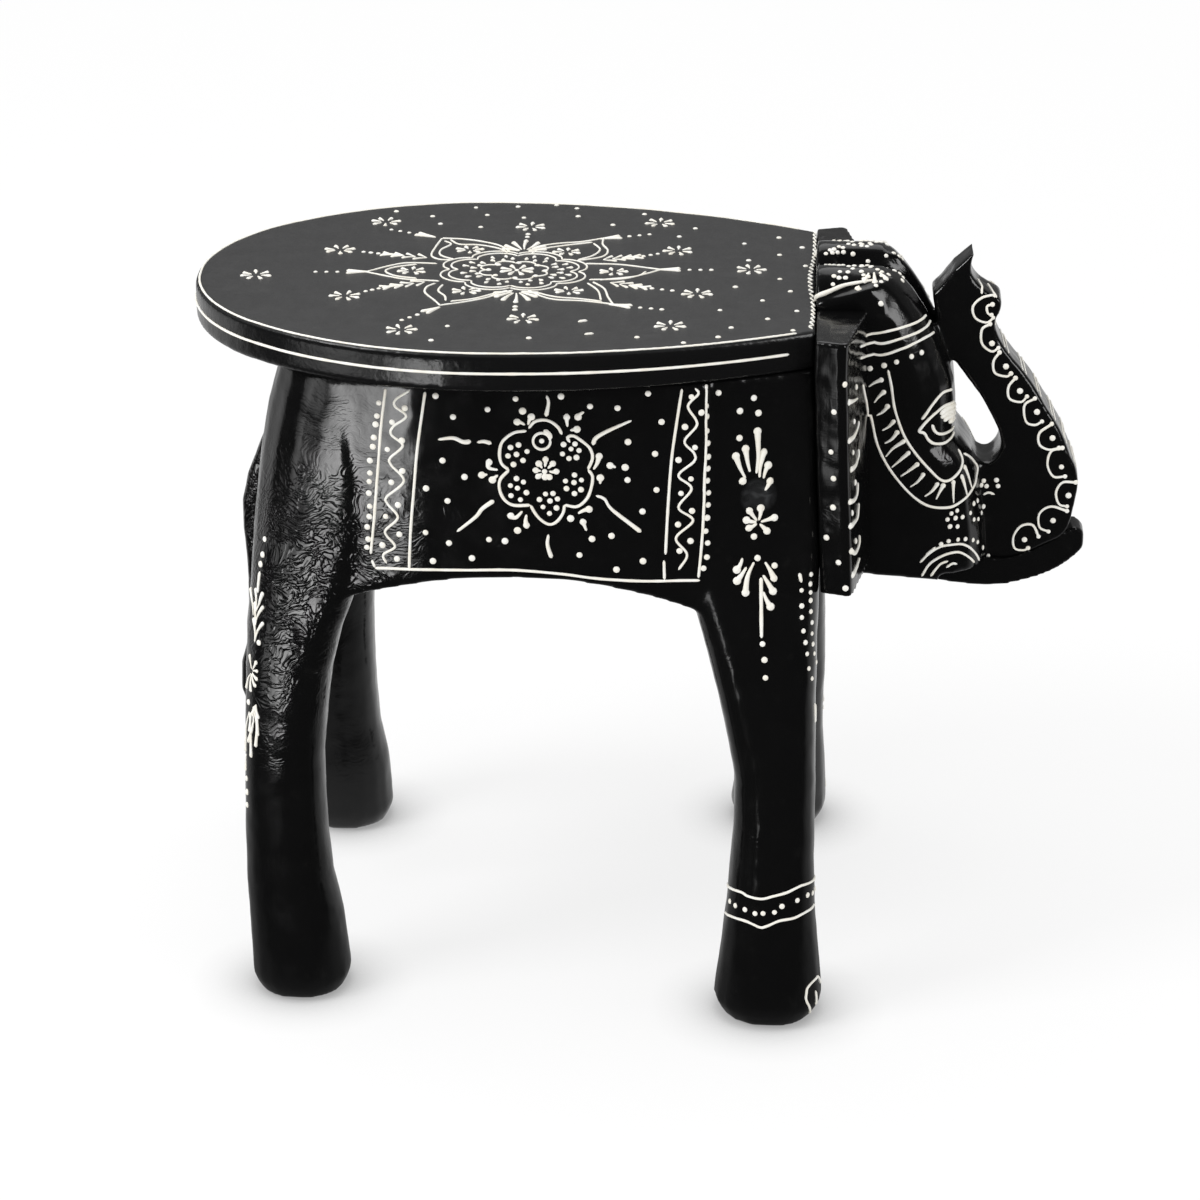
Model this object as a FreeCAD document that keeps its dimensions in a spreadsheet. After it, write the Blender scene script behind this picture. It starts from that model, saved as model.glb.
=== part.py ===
import FreeCAD, Part
import Sketcher
import math
import os

# Carved elephant stool. Lengths are millimetres, +X points to the head, +Z up,
# and the origin lies on the floor under the middle of the object's length.

Vector = FreeCAD.Vector
# Points closer than this are one point
SAME_POINT = 1e-4
UP = Vector(0, 0, 1)
FORWARD = Vector(1, 0, 0)
LEFTWARD = Vector(0, 1, 0)

# Driving dimensions: alias, size, and what it measures
SIZES = [
    ("seat_height", 300.0, "floor to the top of the seat"),
    ("board_thickness", 16.6, "seat plank"),
    ("seat_length", 265.9, "rear end of the seat to its front edge"),
    ("seat_width", 211.8, "widest part of the seat"),
    ("seat_widest_place", 139.0, "front edge back to the widest part"),
    ("seat_front_width", 138.2, "front edge of the seat"),
    ("seat_end_relief", 12.9, "how much tighter the rear end curves than half the seat's width"),
    ("board_edge_bevel", 1.2, "eased edge of the seat plank"),
    ("neck_joint_place", 73.5, "front edge of the seat from the origin"),
    ("neck_lean", 4.5, "how far the neck joint leans forward at the ear's lower end"),
    ("core_width", 100.0, "block between the two side planks"),
    ("flank_half_width", 90.5, "middle of the object to the outer face of the flank"),
    ("arch_top_drop", 104.3, "seat top down to the crown of the belly arch"),
    ("arch_foot_drop", 119.0, "seat top down to the ends of the belly arch"),
    ("arch_back_place", -128.0, "rear end of the belly arch"),
    ("arch_front_place", 30.0, "front end of the belly arch"),
    ("leg_width", 34.2, "thinnest part of a leg"),
    ("left_leg_lead", 3.8, "how much further forward the two left legs bow"),
    ("rear_leg_place", -150.4, "rear leg's axis along the length"),
    ("rear_foot_place", -145.1, "rear foot's centre along the length"),
    ("rear_foot_spread", 83.8, "middle of the object to a rear foot's centre"),
    ("rear_hip_spread", 72.0, "middle of the object to a rear leg's axis under the seat"),
    ("rear_foot_radius", 21.6, "rear foot where it is widest"),
    ("rear_sole_radius", 18.3, "face that a rear foot stands on"),
    ("front_leg_place", 60.7, "front leg's axis along the length"),
    ("front_foot_place", 59.4, "front foot's centre along the length"),
    ("front_foot_spread", 96.0, "middle of the object to a front foot's centre"),
    ("front_hip_spread", 70.0, "middle of the object to a front leg's axis under the seat"),
    ("front_foot_radius", 23.4, "front foot where it is widest"),
    ("front_sole_radius", 19.3, "face that a front foot stands on"),
    ("sole_bevel_height", 7.5, "knife bevel round the sole"),
    ("head_length", 60.8, "neck joint to the flat front of the face"),
    ("head_width", 72.0, "across the cheeks"),
    ("chin_drop", 124.0, "seat top down to the underside of the head at its front"),
    ("throat_rise", 4.5, "how much higher the underside is at the neck"),
    ("mouth_rise", 3.0, "how much higher the cheeks end above the lower lip"),
    ("dome_rise", 11.0, "top of the forehead above the seat"),
    ("face_corner_radius", 22.0, "rounding from cheek to face"),
    ("lobe_radius", 19.0, "rounding of each half of the forehead behind the crown"),
    ("lobe_spread", 17.0, "middle of the head to the crown of each half"),
    ("lobe_length", 29.0, "length of the rounded neck end of each half"),
    ("valley_radius", 10.0, "groove between the two halves of the forehead"),
    ("valley_depth", 8.0, "depth of that groove"),
    ("ear_crown_drop", 1.8, "seat top down to the top of an ear"),
    ("ear_drop", 113.0, "seat top down to the lower end of an ear"),
    ("ear_reach", 78.0, "middle of the object to the back edge of an ear"),
    ("ear_flare", 4.3, "how much further out its front edge stands"),
    ("ear_edge_thickness", 13.0, "ear at its outer edge"),
    ("ear_root_thickness", 22.0, "ear beside the head"),
    ("ear_edge_round", 2.5, "softened outer edge of an ear"),
    ("trunk_root_thickness", 27.0, "trunk where it leaves the face"),
    ("trunk_tip_thickness", 18.0, "trunk at its tip"),
    ("trunk_reach", 54.0, "flat front of the face to the foremost point of the trunk"),
    ("trunk_tip_rise", 15.7, "highest point of the trunk above the seat"),
    ("jaw_reach", 58.1, "flat front of the face to the tip of the lower lip"),
    ("jaw_tuck", 5.6, "how far the jaw runs back under the head"),
    ("jaw_depth", 9.0, "underside of the head to the lowest point of the jaw"),
    ("jaw_half_width", 17.0, "jaw at its root"),
    ("tail_width", 12.0, "tail strip across the object"),
    ("tail_thickness", 8.5, "tail strip front to back"),
    ("tail_top_drop", 67.0, "seat top down to the upper end of the tail"),
    ("tail_end_drop", 208.0, "seat top down to the end of the tuft"),
    ("dowel_radius", 4.0, "wooden dowels of the body and seat, over their corners"),
    ("small_dowel_radius", 3.0, "wooden dowels of ears and trunk, over their corners"),
    ("pin_radius", 2.0, "wooden pins of jaw and tail, over their corners"),
    ("dowel_play", 0.05, "glue gap round a dowel"),
    ("seat_dowel_grip", 9.0, "seat dowel inside the plank"),
    ("dowel_grip", 18.0, "dowel inside a block"),
    ("short_grip", 9.0, "dowel inside an ear, trunk or tail"),
    ("overrun", 3.0, "how far cutters and hidden ends run past a face"),
]

# One row per level of a leg. Height is a share of the leg's height. The reaches from the leg's
# axis to the back, the front, the outer face at the back, the outer face at the front and the
# inner face, and then the corner radii (outer back, outer front, inner), are shares of its width.
REAR_LEG_SHARES = [
    (0.113, 0.494, 0.708, 0.594, 0.594, 0.570, 0.52, 0.52, 0.50),
    (0.212, 0.518, 0.553, 0.532, 0.532, 0.506, 0.46, 0.44, 0.44),
    (0.353, 0.500, 0.500, 0.509, 0.509, 0.515, 0.44, 0.42, 0.40),
    (0.494, 0.465, 0.585, 0.500, 0.500, 0.585, 0.46, 0.40, 0.36),
    (0.582, 0.444, 0.743, 0.500, 0.500, 0.670, 0.52, 0.38, 0.30),
    (0.670, 0.392, 1.000, 0.500, 0.500, 0.790, 0.62, 0.34, 0.12),
    (0.759, 0.327, 1.120, 0.505, 0.505, 0.830, 0.75, 0.30, 0.06),
    (0.882, 0.205, 1.120, 0.525, 0.525, 0.830, 0.80, 0.28, 0.06),
    (1.000, -0.045, 1.120, 0.541, 0.541, 0.830, 0.70, 0.24, 0.06),
]
FRONT_LEG_SHARES = [
    (0.106, 0.649, 0.582, 0.680, 0.680, 0.547, 0.55, 0.55, 0.52),
    (0.212, 0.558, 0.512, 0.614, 0.614, 0.482, 0.47, 0.47, 0.44),
    (0.353, 0.500, 0.500, 0.547, 0.547, 0.477, 0.43, 0.43, 0.40),
    (0.494, 0.705, 0.485, 0.515, 0.491, 0.561, 0.40, 0.42, 0.36),
    (0.582, 0.895, 0.480, 0.480, 0.383, 0.684, 0.38, 0.42, 0.30),
    (0.670, 1.095, 0.490, 0.440, 0.246, 0.850, 0.36, 0.40, 0.12),
    (0.759, 1.150, 0.500, 0.470, 0.108, 0.860, 0.36, 0.36, 0.06),
    (0.882, 1.150, 0.500, 0.530, 0.026, 0.860, 0.36, 0.30, 0.06),
    (1.000, 1.150, 0.500, 0.600, -0.030, 0.860, 0.36, 0.25, 0.06),
]

# How much of their lead the left legs have at a level, both as shares
LEAD_SHARES = [(0.00, 0.20), (0.15, 0.55), (0.35, 1.00), (0.50, 0.80), (0.63, 0.50), (1.00, 0.00)]

# Levels of the head between chin and crown, and the reach of the face there from the neck joint,
# as shares of the head's height and length. Low down the cheeks run forward beside the trunk.
FACE_SHARES = [
    (-0.050, 1.250),
    (0.060, 1.243),
    (0.176, 1.219),
    (0.287, 1.184),
    (0.340, 1.160),
    (0.382, 1.128),
    (0.415, 1.080),
    (0.445, 1.022),
    (0.475, 1.000),
    (0.560, 0.998),
    (0.632, 0.985),
    (0.700, 0.925),
    (0.783, 0.853),
    (0.825, 0.808),
    (0.866, 0.760),
    (0.925, 0.672),
    (0.950, 0.625),
    (0.974, 0.575),
    (0.988, 0.530),
    (1.000, 0.475),
]
# The crown's line from the seat forwards: share of the head's length, share of the dome's rise
CROWN_SHARES = [(0.000, 0.05), (0.165, 0.34), (0.354, 0.62), (0.460, 0.80)]
# The groove between the halves, as its distance in front of the neck joint (share of the head's
# length) and its height between chin and crown (share of the head's height)
VALLEY_SHARES = [
    (0.12, 0.985),
    (0.30, 1.000),
    (0.49, 0.998),
    (0.62, 0.960),
    (0.72, 0.893),
    (0.82, 0.815),
    (0.94, 0.745),
    (1.08, 0.700),
]

# Points of the trunk's outline: distance in front of the face as a share of the trunk's reach,
# and height from the chin to the trunk's highest point as a share of that height
TRUNK_INNER_SHARES = [
    (-0.208, 0.866),
    (-0.196, 0.832),
    (-0.115, 0.729),
    (0.087, 0.601),
    (0.189, 0.549),
    (0.267, 0.498),
    (0.337, 0.446),
    (0.376, 0.376),
]
TRUNK_SADDLE_SHARES = [(0.376, 0.376), (0.243, 0.326), (0.109, 0.374), (-0.020, 0.434)]
TRUNK_UNDER_SHARES = [
    (-0.020, -0.021),
    (0.231, -0.013),
    (0.467, 0.007),
    (0.678, 0.049),
    (0.844, 0.082),
]
TRUNK_CHIN_SHARES = [(0.844, 0.082), (0.915, 0.108), (0.956, 0.150)]
TRUNK_OUTER_SHARES = [
    (0.956, 0.150),
    (0.996, 0.240),
    (0.993, 0.300),
    (0.932, 0.354),
    (0.858, 0.425),
    (0.738, 0.502),
    (0.588, 0.596),
    (0.405, 0.681),
    (0.281, 0.785),
]
TRUNK_LIP_SHARES = [(0.281, 0.785), (0.336, 0.826), (0.338, 0.852)]
TRUNK_TIP_SHARES = [(0.338, 0.852), (0.206, 0.882), (0.148, 0.900), (0.113, 1.000)]
TRUNK_FACET_SHARES = [(-0.041, 0.946), (-0.150, 0.890)]
TRUNK_CURVES = [
    TRUNK_INNER_SHARES,
    TRUNK_SADDLE_SHARES,
    TRUNK_UNDER_SHARES,
    TRUNK_CHIN_SHARES,
    TRUNK_OUTER_SHARES,
    TRUNK_LIP_SHARES,
    TRUNK_TIP_SHARES,
]

# Lower lip: distance in front of the face as a share of its reach, height above the lowest point
# of the jaw as a share of the jaw's depth
JAW_UNDER_SHARES = [
    (-0.096, 0.22),
    (0.222, 0.00),
    (0.442, 0.04),
    (0.640, 0.30),
    (0.836, 0.76),
    (1.000, 1.62),
]
JAW_TIP_SHARES = [(1.000, 1.62), (1.012, 2.02), (0.985, 2.46), (0.923, 2.68)]
JAW_UPPER_SHARES = [
    (0.923, 2.68),
    (0.785, 2.38),
    (0.630, 1.90),
    (0.434, 1.38),
    (0.215, 1.48),
    (-0.096, 1.50),
]
# The lip seen from above: share of its length from the root, share of its half width there
JAW_PLAN_SHARES = [(0.0, 1.00), (0.5, 0.90), (1.0, 0.35)]

# Tail levels: share of its height from the end up, then offset behind the rump's line there,
# thickness and width as shares of the tail's own
TAIL_SHARES = [
    (0.000, 0.62, 0.45, 0.55),
    (0.045, 0.66, 0.90, 1.15),
    (0.145, 0.66, 1.15, 1.50),
    (0.270, 0.38, 0.95, 0.95),
    (0.480, 0.40, 0.95, 0.92),
    (0.715, 0.75, 1.05, 1.00),
    (0.840, 0.46, 1.05, 1.10),
    (0.930, 0.02, 1.00, 1.20),
    (1.000, -0.20, 0.80, 1.20),
]

# How high up its own piece each dowel of a row sits
EAR_DOWEL_SHARES = (0.28, 0.75)
TRUNK_DOWEL_SHARES = (0.16, 0.27)
JAW_PIN_SHARES = (0.40, 0.58)
TAIL_PIN_SHARE = 0.93
SIDE_DOWEL_SHARES = (0.0, 0.5, 1.0)

# Rounding of a foot's section and of the tail's, as shares of the half width
FOOT_ROUND_SHARE = 0.92
TAIL_ROUND_SHARE = 0.7
# The trunk keeps its full thickness up to this share of its height, and a pin stands this share
# of the tail's thickness deep in it
TRUNK_FULL_SHARE = 1 / 3
TAIL_PIN_DEPTH_SHARE = 1 / 3

# How many levels the legs and the tail are carved through, how many points round a
# corner or go between two points of a sawn outline, and how many flats a whittled dowel has
LEG_LEVEL_COUNT = 14
TAIL_LEVEL_COUNT = 12
CORNER_COUNT = 5
SMALL_CORNER_COUNT = 3
CURVE_STEP_COUNT = 3
DOWEL_SIDE_COUNT = 12
ARCH_COUNT = 17
GROOVE_SIDE_COUNT = 24
LOBE_SIDE_COUNT = 40

DOCUMENT = FreeCAD.newDocument("elephant_stool")
SHEET = DOCUMENT.addObject("Spreadsheet::Sheet", "sizes")


def fill_sheet():
    """Write every driving dimension to the sheet as a plain number with an alias."""
    for row, (alias, size, meaning) in enumerate(SIZES, start=1):
        SHEET.set(f"A{row}", alias)
        SHEET.set(f"B{row}", str(size))
        SHEET.set(f"C{row}", meaning)
        SHEET.setAlias(f"B{row}", alias)
    DOCUMENT.recompute()


def size(alias):
    """One driving dimension, read back from the sheet."""
    return float(SHEET.get(alias))


fill_sheet()

# Places that follow from the driving dimensions
board_underside = size("seat_height") - size("board_thickness")
arch_top_height = size("seat_height") - size("arch_top_drop")
arch_foot_height = size("seat_height") - size("arch_foot_drop")
chin_height = size("seat_height") - size("chin_drop")
tail_top_height = size("seat_height") - size("tail_top_drop")
tail_end_height = size("seat_height") - size("tail_end_drop")
core_half = size("core_width") / 2
leg_height = board_underside
joint_top = size("neck_joint_place")
ear_bottom = size("seat_height") - size("ear_drop")
crown_height = size("seat_height") + size("dome_rise")
head_height = crown_height - chin_height
face_place = joint_top + size("head_length")
cheek_place = joint_top + FACE_SHARES[0][1] * size("head_length")
trunk_top = size("seat_height") + size("trunk_tip_rise")
trunk_height = trunk_top - chin_height
jaw_bottom = chin_height - size("jaw_depth")
seat_back = joint_top - size("seat_length")
all_length = face_place + size("jaw_reach") - seat_back


def joint_place(height):
    """Where the neck joint lies at a height: upright beside the plank, leaning forward below it."""
    drop = max(board_underside - height, 0)
    return joint_top + size("neck_lean") * drop / (board_underside - ear_bottom)


def smooth_line(points):
    """Closely spaced points of the smooth curve through a few points."""
    curve = Part.BSplineCurve()
    curve.interpolate(points)
    return curve.discretize(Number=CURVE_STEP_COUNT * (len(points) - 1) + 1)


def closed_wire(points):
    """Straight edges round a closed outline, leaving out points that repeat their neighbour."""
    corners = []
    for index, point in enumerate(points):
        if not point.isEqual(points[index - 1], SAME_POINT):
            corners.append(point)
    return Part.makePolygon(corners + corners[:1])


def side_view(points, across):
    """Turn (place, height) pairs into points on an upright plane at one distance across."""
    return [Vector(place, across, height) for place, height in points]


def slab(points, half_width):
    """Extrude a closed outline, drawn at y = -half_width, across the object."""
    return Part.Face(closed_wire(points)).extrude(Vector(0, 2 * half_width, 0))


def corner_arc(before, corner, after, radius, count):
    """Points along the arc that rounds one corner of a level section."""
    to_before = (before - corner).normalize()
    to_after = (after - corner).normalize()
    half_angle = to_before.getAngle(to_after) / 2
    run = radius / math.tan(half_angle)
    bisector = (to_before + to_after).normalize()
    centre = corner + bisector * (radius / math.sin(half_angle))
    start = corner + to_before * run
    end = corner + to_after * run
    return Part.Arc(start, centre - bisector * radius, end).discretize(Number=count)


def rounded_section(corners, radii, counts=(CORNER_COUNT,) * 4):
    """A closed wire round level corners, each rounded by its own radius."""
    points = []
    for index, corner in enumerate(corners):
        before = corners[index - 1]
        after = corners[(index + 1) % len(corners)]
        points.extend(corner_arc(before, corner, after, radii[index], counts[index]))
    return Part.makePolygon(points + points[:1])


def ring(centre, across, upward, radius, side_count):
    """A closed wire of equal flats round a centre, its first corner on the way called across."""
    points = []
    for number in range(side_count):
        angle = 2 * math.pi * number / side_count
        points.append(centre + across * (radius * math.cos(angle)) + upward * (radius * math.sin(angle)))
    return Part.makePolygon(points + points[:1])


def space_before_joint():
    """The space in front of the neck joint, past every piece that meets it."""
    low = -size("overrun")
    high = crown_height + trunk_top
    wide = size("seat_width")
    far = face_place + all_length
    outline = [
        (joint_place(low), low),
        (joint_top, board_underside),
        (joint_top, high),
        (far, high),
        (far, low),
    ]
    return slab(side_view(outline, -wide), wide)


# Sets of dowels: each dowel is its inner end, the way it points, its radius and its length
def seat_dowels():
    grip = size("dowel_grip")
    length = grip + size("seat_dowel_grip")
    places = []
    behind = size("rear_leg_place") + size("leg_width")
    before = size("front_leg_place") - size("leg_width") / 2
    for along in (behind, before):
        for side in (-1, 1):
            across = side * (core_half + size("dowel_grip") - size("dowel_radius"))
            places.append(Vector(along, across, board_underside - grip))
    return [(place, UP, size("dowel_radius"), length) for place in places]


def side_dowels():
    grip = size("dowel_grip")
    span = size("arch_front_place") - size("arch_back_place")
    height = (arch_top_height + board_underside) / 2
    row = []
    for share in SIDE_DOWEL_SHARES:
        along = size("arch_back_place") + span * share
        for side in (-1, 1):
            start = Vector(along, side * (core_half - grip), height)
            row.append((start, LEFTWARD * side, size("dowel_radius"), 2 * grip))
    return row


def neck_dowels():
    grip = size("dowel_grip")
    height = (arch_top_height + board_underside) / 2
    row = []
    for side in (-1, 1):
        start = Vector(joint_place(height) - grip, side * size("head_width") / 4, height)
        row.append((start, FORWARD, size("dowel_radius"), 2 * grip))
    return row


def ear_dowels(side):
    across = side * (size("head_width") / 2 + size("ear_reach")) / 2
    row = []
    for share in EAR_DOWEL_SHARES:
        height = size("seat_height") - size("ear_drop") * share
        start = Vector(joint_place(height) - size("dowel_grip"), across, height)
        length = size("dowel_grip") + size("short_grip")
        row.append((start, FORWARD, size("small_dowel_radius"), length))
    return row


def trunk_dowels():
    row = []
    for share in TRUNK_DOWEL_SHARES:
        height = chin_height + trunk_height * share
        start = Vector(cheek_place - size("dowel_grip"), 0, height)
        length = 2 * size("dowel_grip") - size("short_grip")
        row.append((start, FORWARD, size("small_dowel_radius"), length))
    return row


def jaw_pins():
    row = []
    for share in JAW_PIN_SHARES:
        along = face_place + size("jaw_reach") * share
        start = Vector(along, 0, jaw_bottom + size("jaw_depth") / 2)
        row.append((start, UP, size("pin_radius"), size("dowel_grip")))
    return row


def tail_pins():
    height = tail_end_height + (tail_top_height - tail_end_height) * TAIL_PIN_SHARE
    start = Vector(rump_place(height) - size("tail_thickness") * TAIL_PIN_DEPTH_SHARE, 0, height)
    return [(start, FORWARD, size("pin_radius"), size("dowel_grip"))]


def with_holes(shape, *groups):
    """Bore every dowel's hole, with its glue gap, into a piece."""
    for group in groups:
        for start, way, radius, length in group:
            outline = ring(Vector(), FORWARD, LEFTWARD, radius + size("dowel_play"), DOWEL_SIDE_COUNT)
            hole = Part.Face(outline).extrude(UP * (length + 2 * size("dowel_play")))
            hole.Placement = FreeCAD.Placement(start - way * size("dowel_play"), FreeCAD.Rotation(UP, way))
            shape = shape.cut(hole)
    return shape


def rump_place(height):
    """The rear face of the body at a height, read from the rear leg's own levels."""
    reach = row_at(REAR_LEG_SHARES, height / leg_height)[1]
    return size("rear_leg_place") - reach * size("leg_width")


def slopes_of(levels, values):
    """Slopes for a curve through rows of a table that never swings past its neighbours."""
    steps = [(b - a) / (q - p) for a, b, p, q in zip(values, values[1:], levels, levels[1:])]
    slopes = [steps[0]]
    for before, after in zip(steps, steps[1:]):
        same_way = before * after > 0
        slopes.append(2 * before * after / (before + after) if same_way else 0)
    slopes.append(steps[-1])
    return slopes


def row_at(rows, level):
    """A row of a table at any level between its first and last, every column on its own curve."""
    levels = [row[0] for row in rows]
    index = max(i for i in range(len(rows) - 1) if levels[i] <= level or i == 0)
    low = levels[index]
    step = levels[index + 1] - low
    part = (level - low) / step
    ease = part * part * (3 - 2 * part)
    result = [level]
    for column in range(1, len(rows[0])):
        values = [row[column] for row in rows]
        slopes = slopes_of(levels, values)
        start_pull = slopes[index] * step * part * (1 - part) ** 2
        end_pull = slopes[index + 1] * step * part * part * (part - 1)
        change = values[index + 1] - values[index]
        result.append(values[index] + change * ease + start_pull + end_pull)
    return result


def even_rows(rows, count):
    """The table again, at evenly spaced levels from its first row to its last."""
    first = rows[0][0]
    last = rows[-1][0]
    return [row_at(rows, first + (last - first) * number / (count - 1)) for number in range(count)]


def leg(kind, side, shares):
    """One leg from its sole to the underside of the seat, a loft through level sections."""
    lead = size("left_leg_lead") if side > 0 else 0
    foot_place = size(f"{kind}_foot_place") + lead * LEAD_SHARES[0][1]
    foot = Vector(foot_place, side * size(f"{kind}_foot_spread"), 0)
    width = size("leg_width")
    foot_spread = size(f"{kind}_foot_spread")
    hip_spread = size(f"{kind}_hip_spread")
    sole = foot_section(foot, 0, size(f"{kind}_sole_radius"))
    ankle = foot_section(foot, size("sole_bevel_height"), size(f"{kind}_foot_radius"))
    sections = [ankle]
    for level, back, front, outer_back, outer_front, inner, *rounds in even_rows(shares, LEG_LEVEL_COUNT):
        height = level * leg_height
        axis = size(f"{kind}_leg_place") + lead * row_at(LEAD_SHARES, level)[1]
        spread = foot_spread + (hip_spread - foot_spread) * level
        corners = [
            Vector(axis - back * width, side * (spread + outer_back * width), height),
            Vector(axis + front * width, side * (spread + outer_front * width), height),
            Vector(axis + front * width, side * (spread - inner * width), height),
            Vector(axis - back * width, side * (spread - inner * width), height),
        ]
        radii = [rounds[0] * width, rounds[1] * width, rounds[2] * width, rounds[2] * width]
        sections.append(rounded_section(corners, radii))
    return Part.makeLoft([sole] + sections, True, True)


def foot_section(foot, height, radius):
    """A nearly round level section, as four corners rounded almost to a circle."""
    side = 1 if foot.y > 0 else -1
    corners = [
        Vector(foot.x - radius, foot.y + side * radius, height),
        Vector(foot.x + radius, foot.y + side * radius, height),
        Vector(foot.x + radius, foot.y - side * radius, height),
        Vector(foot.x - radius, foot.y - side * radius, height),
    ]
    return rounded_section(corners, [radius * FOOT_ROUND_SHARE] * 4)


def belly_arch(across):
    """Points of the belly's arch, from its rear end over the crown to its front end."""
    back = size("arch_back_place")
    front = size("arch_front_place")
    ends = arch_foot_height
    three = side_view([(back, ends), ((back + front) / 2, arch_top_height), (front, ends)], across)
    return Part.Arc(*three).discretize(Number=ARCH_COUNT)


def flank_panel(side):
    """The sawn plank between the two legs of one side, arched along the belly."""
    back = size("arch_back_place")
    front = size("arch_front_place")
    near = core_half if side > 0 else -size("flank_half_width")
    top = side_view([(front, board_underside), (back, board_underside)], near)
    face = Part.Face(closed_wire(belly_arch(near) + top))
    return face.extrude(Vector(0, size("flank_half_width") - core_half, 0))


def outer_space(side):
    """The space beyond the core on one side, up to the underside of the seat."""
    low = -size("overrun")
    wide = size("seat_width")
    corner = Vector(-all_length, core_half if side > 0 else -core_half - wide, low)
    return Part.makeBox(2 * all_length, wide, board_underside - low, corner)


def make_side(side):
    """A side plank: rear leg with its haunch, front leg with its shoulder, and the flank between."""
    rear = leg("rear", side, REAR_LEG_SHARES)
    front = leg("front", side, FRONT_LEG_SHARES)
    plank = rear.fuse([front, flank_panel(side)])
    plank = plank.common(outer_space(side)).cut(space_before_joint())
    return with_holes(plank, seat_dowels(), side_dowels(), ear_dowels(side)).removeSplitter()


def make_core():
    """The block between the side planks: rump behind, belly arch below, neck joint in front."""
    across = -core_half
    ends = arch_foot_height
    levels = [row[0] * leg_height for row in even_rows(REAR_LEG_SHARES, LEG_LEVEL_COUNT)]
    heights = [ends] + [height for height in levels if height > ends + size("overrun")]
    front = joint_place(ends) + size("overrun")
    outline = side_view([(rump_place(height), height) for height in heights], across)
    outline.extend(side_view([(front, board_underside), (front, ends)], across))
    outline.extend(reversed(belly_arch(across)))
    block = slab(outline, core_half).cut(space_before_joint())
    return with_holes(block, side_dowels(), neck_dowels(), tail_pins())


def make_head():
    """The head: face and cheeks lofted level by level, two rounded halves on top, a groove between."""
    half = size("head_width") / 2
    face_round = size("face_corner_radius")
    neck_round = size("ear_edge_round")
    radii = (face_round, face_round, neck_round, neck_round)
    counts = (CORNER_COUNT, CORNER_COUNT, SMALL_CORNER_COUNT, SMALL_CORNER_COUNT)
    back = joint_top - size("overrun")
    sections = []
    for level, reach in FACE_SHARES:
        height = chin_height + level * head_height
        front = joint_top + reach * size("head_length")
        corners = [
            Vector(front, -half, height),
            Vector(front, half, height),
            Vector(back, half, height),
            Vector(back, -half, height),
        ]
        sections.append(rounded_section(corners, radii, counts))
    block = Part.makeLoft(sections, True, True)
    block = block.common(head_profile(half + size("overrun")))
    for side in (-1, 1):
        start = Vector(back, side * size("lobe_spread"), crown_height - size("lobe_radius"))
        outline = ring(start, LEFTWARD, UP, size("lobe_radius"), LOBE_SIDE_COUNT)
        lobe = Part.Face(outline).extrude(FORWARD * (size("lobe_length") + size("overrun")))
        block = block.fuse(lobe)
    block = block.common(space_before_joint()).cut(valley_cutter())
    return with_holes(block, neck_dowels(), trunk_dowels()).removeSplitter()


def head_profile(half):
    """The head's outline from the side: chin, flat face, and the crown's rise from the seat."""
    across = -half
    back = joint_top - size("overrun")
    crown = []
    for reach, rise in CROWN_SHARES:
        height = size("seat_height") + rise * size("dome_rise")
        crown.append((joint_top + reach * size("head_length"), height))
    lip_root = face_place - size("jaw_tuck")
    mouth = chin_height + size("mouth_rise")
    outline = [(cheek_place, crown[-1][1]), (cheek_place, mouth), (lip_root, mouth)]
    outline.append((lip_root, chin_height))
    outline.append((back, chin_height + size("throat_rise")))
    outline.append((back, crown[0][1]))
    return slab(smooth_line(side_view(crown, across)) + side_view(outline, across), half)


def valley_cutter():
    """A round groove that follows the middle of the forehead and runs out above the face."""
    lift = size("valley_radius") - size("valley_depth")
    points = []
    for reach, level in VALLEY_SHARES:
        height = chin_height + level * head_height + lift
        points.append(Vector(joint_top + reach * size("head_length"), 0, height))
    rings = []
    for index, point in enumerate(points):
        before = points[max(index - 1, 0)]
        after = points[min(index + 1, len(points) - 1)]
        upward = (after - before).cross(LEFTWARD).normalize()
        rings.append(ring(point, LEFTWARD, upward, size("valley_radius"), GROOVE_SIDE_COUNT))
    return Part.makeLoft(rings, True, True)


def make_ear(side):
    """An ear: a wedge thick beside the head and thin at its outer edge, hung on the neck joint."""
    half = size("head_width") / 2
    reach = size("ear_reach")
    thin = size("ear_edge_thickness")
    thick = size("ear_root_thickness")
    edge = size("ear_edge_round")
    sections = []
    for height in (ear_bottom, board_underside, size("seat_height") - size("ear_crown_drop")):
        back = joint_place(height)
        corners = [
            Vector(back, side * half, height),
            Vector(back, side * reach, height),
            Vector(back + thin, side * (reach + size("ear_flare")), height),
            Vector(back + thick, side * half, height),
        ]
        radii = [edge / 2, edge / 2, edge, edge / 2]
        sections.append(rounded_section(corners, radii, (SMALL_CORNER_COUNT,) * 4))
    blade = Part.makeLoft(sections, True, True)
    return with_holes(blade, ear_dowels(side)).removeSplitter()


def share_points(shares, across):
    """Points of the trunk's outline in front of the face and above the chin."""
    points = []
    for reach, level in shares:
        points.append((face_place + reach * size("trunk_reach"), chin_height + level * trunk_height))
    return side_view(points, across)


def make_trunk(head):
    """The raised trunk: a board sawn to its outline, tapered to the tip, scribed to the forehead."""
    half = size("trunk_root_thickness") / 2
    outline = []
    for shares in TRUNK_CURVES:
        outline.extend(smooth_line(share_points(shares, -half)))
    outline.extend(share_points(TRUNK_FACET_SHARES, -half))
    board = slab(outline, half).common(trunk_taper(half))
    return with_holes(board.cut(head), trunk_dowels(), jaw_pins())


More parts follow.
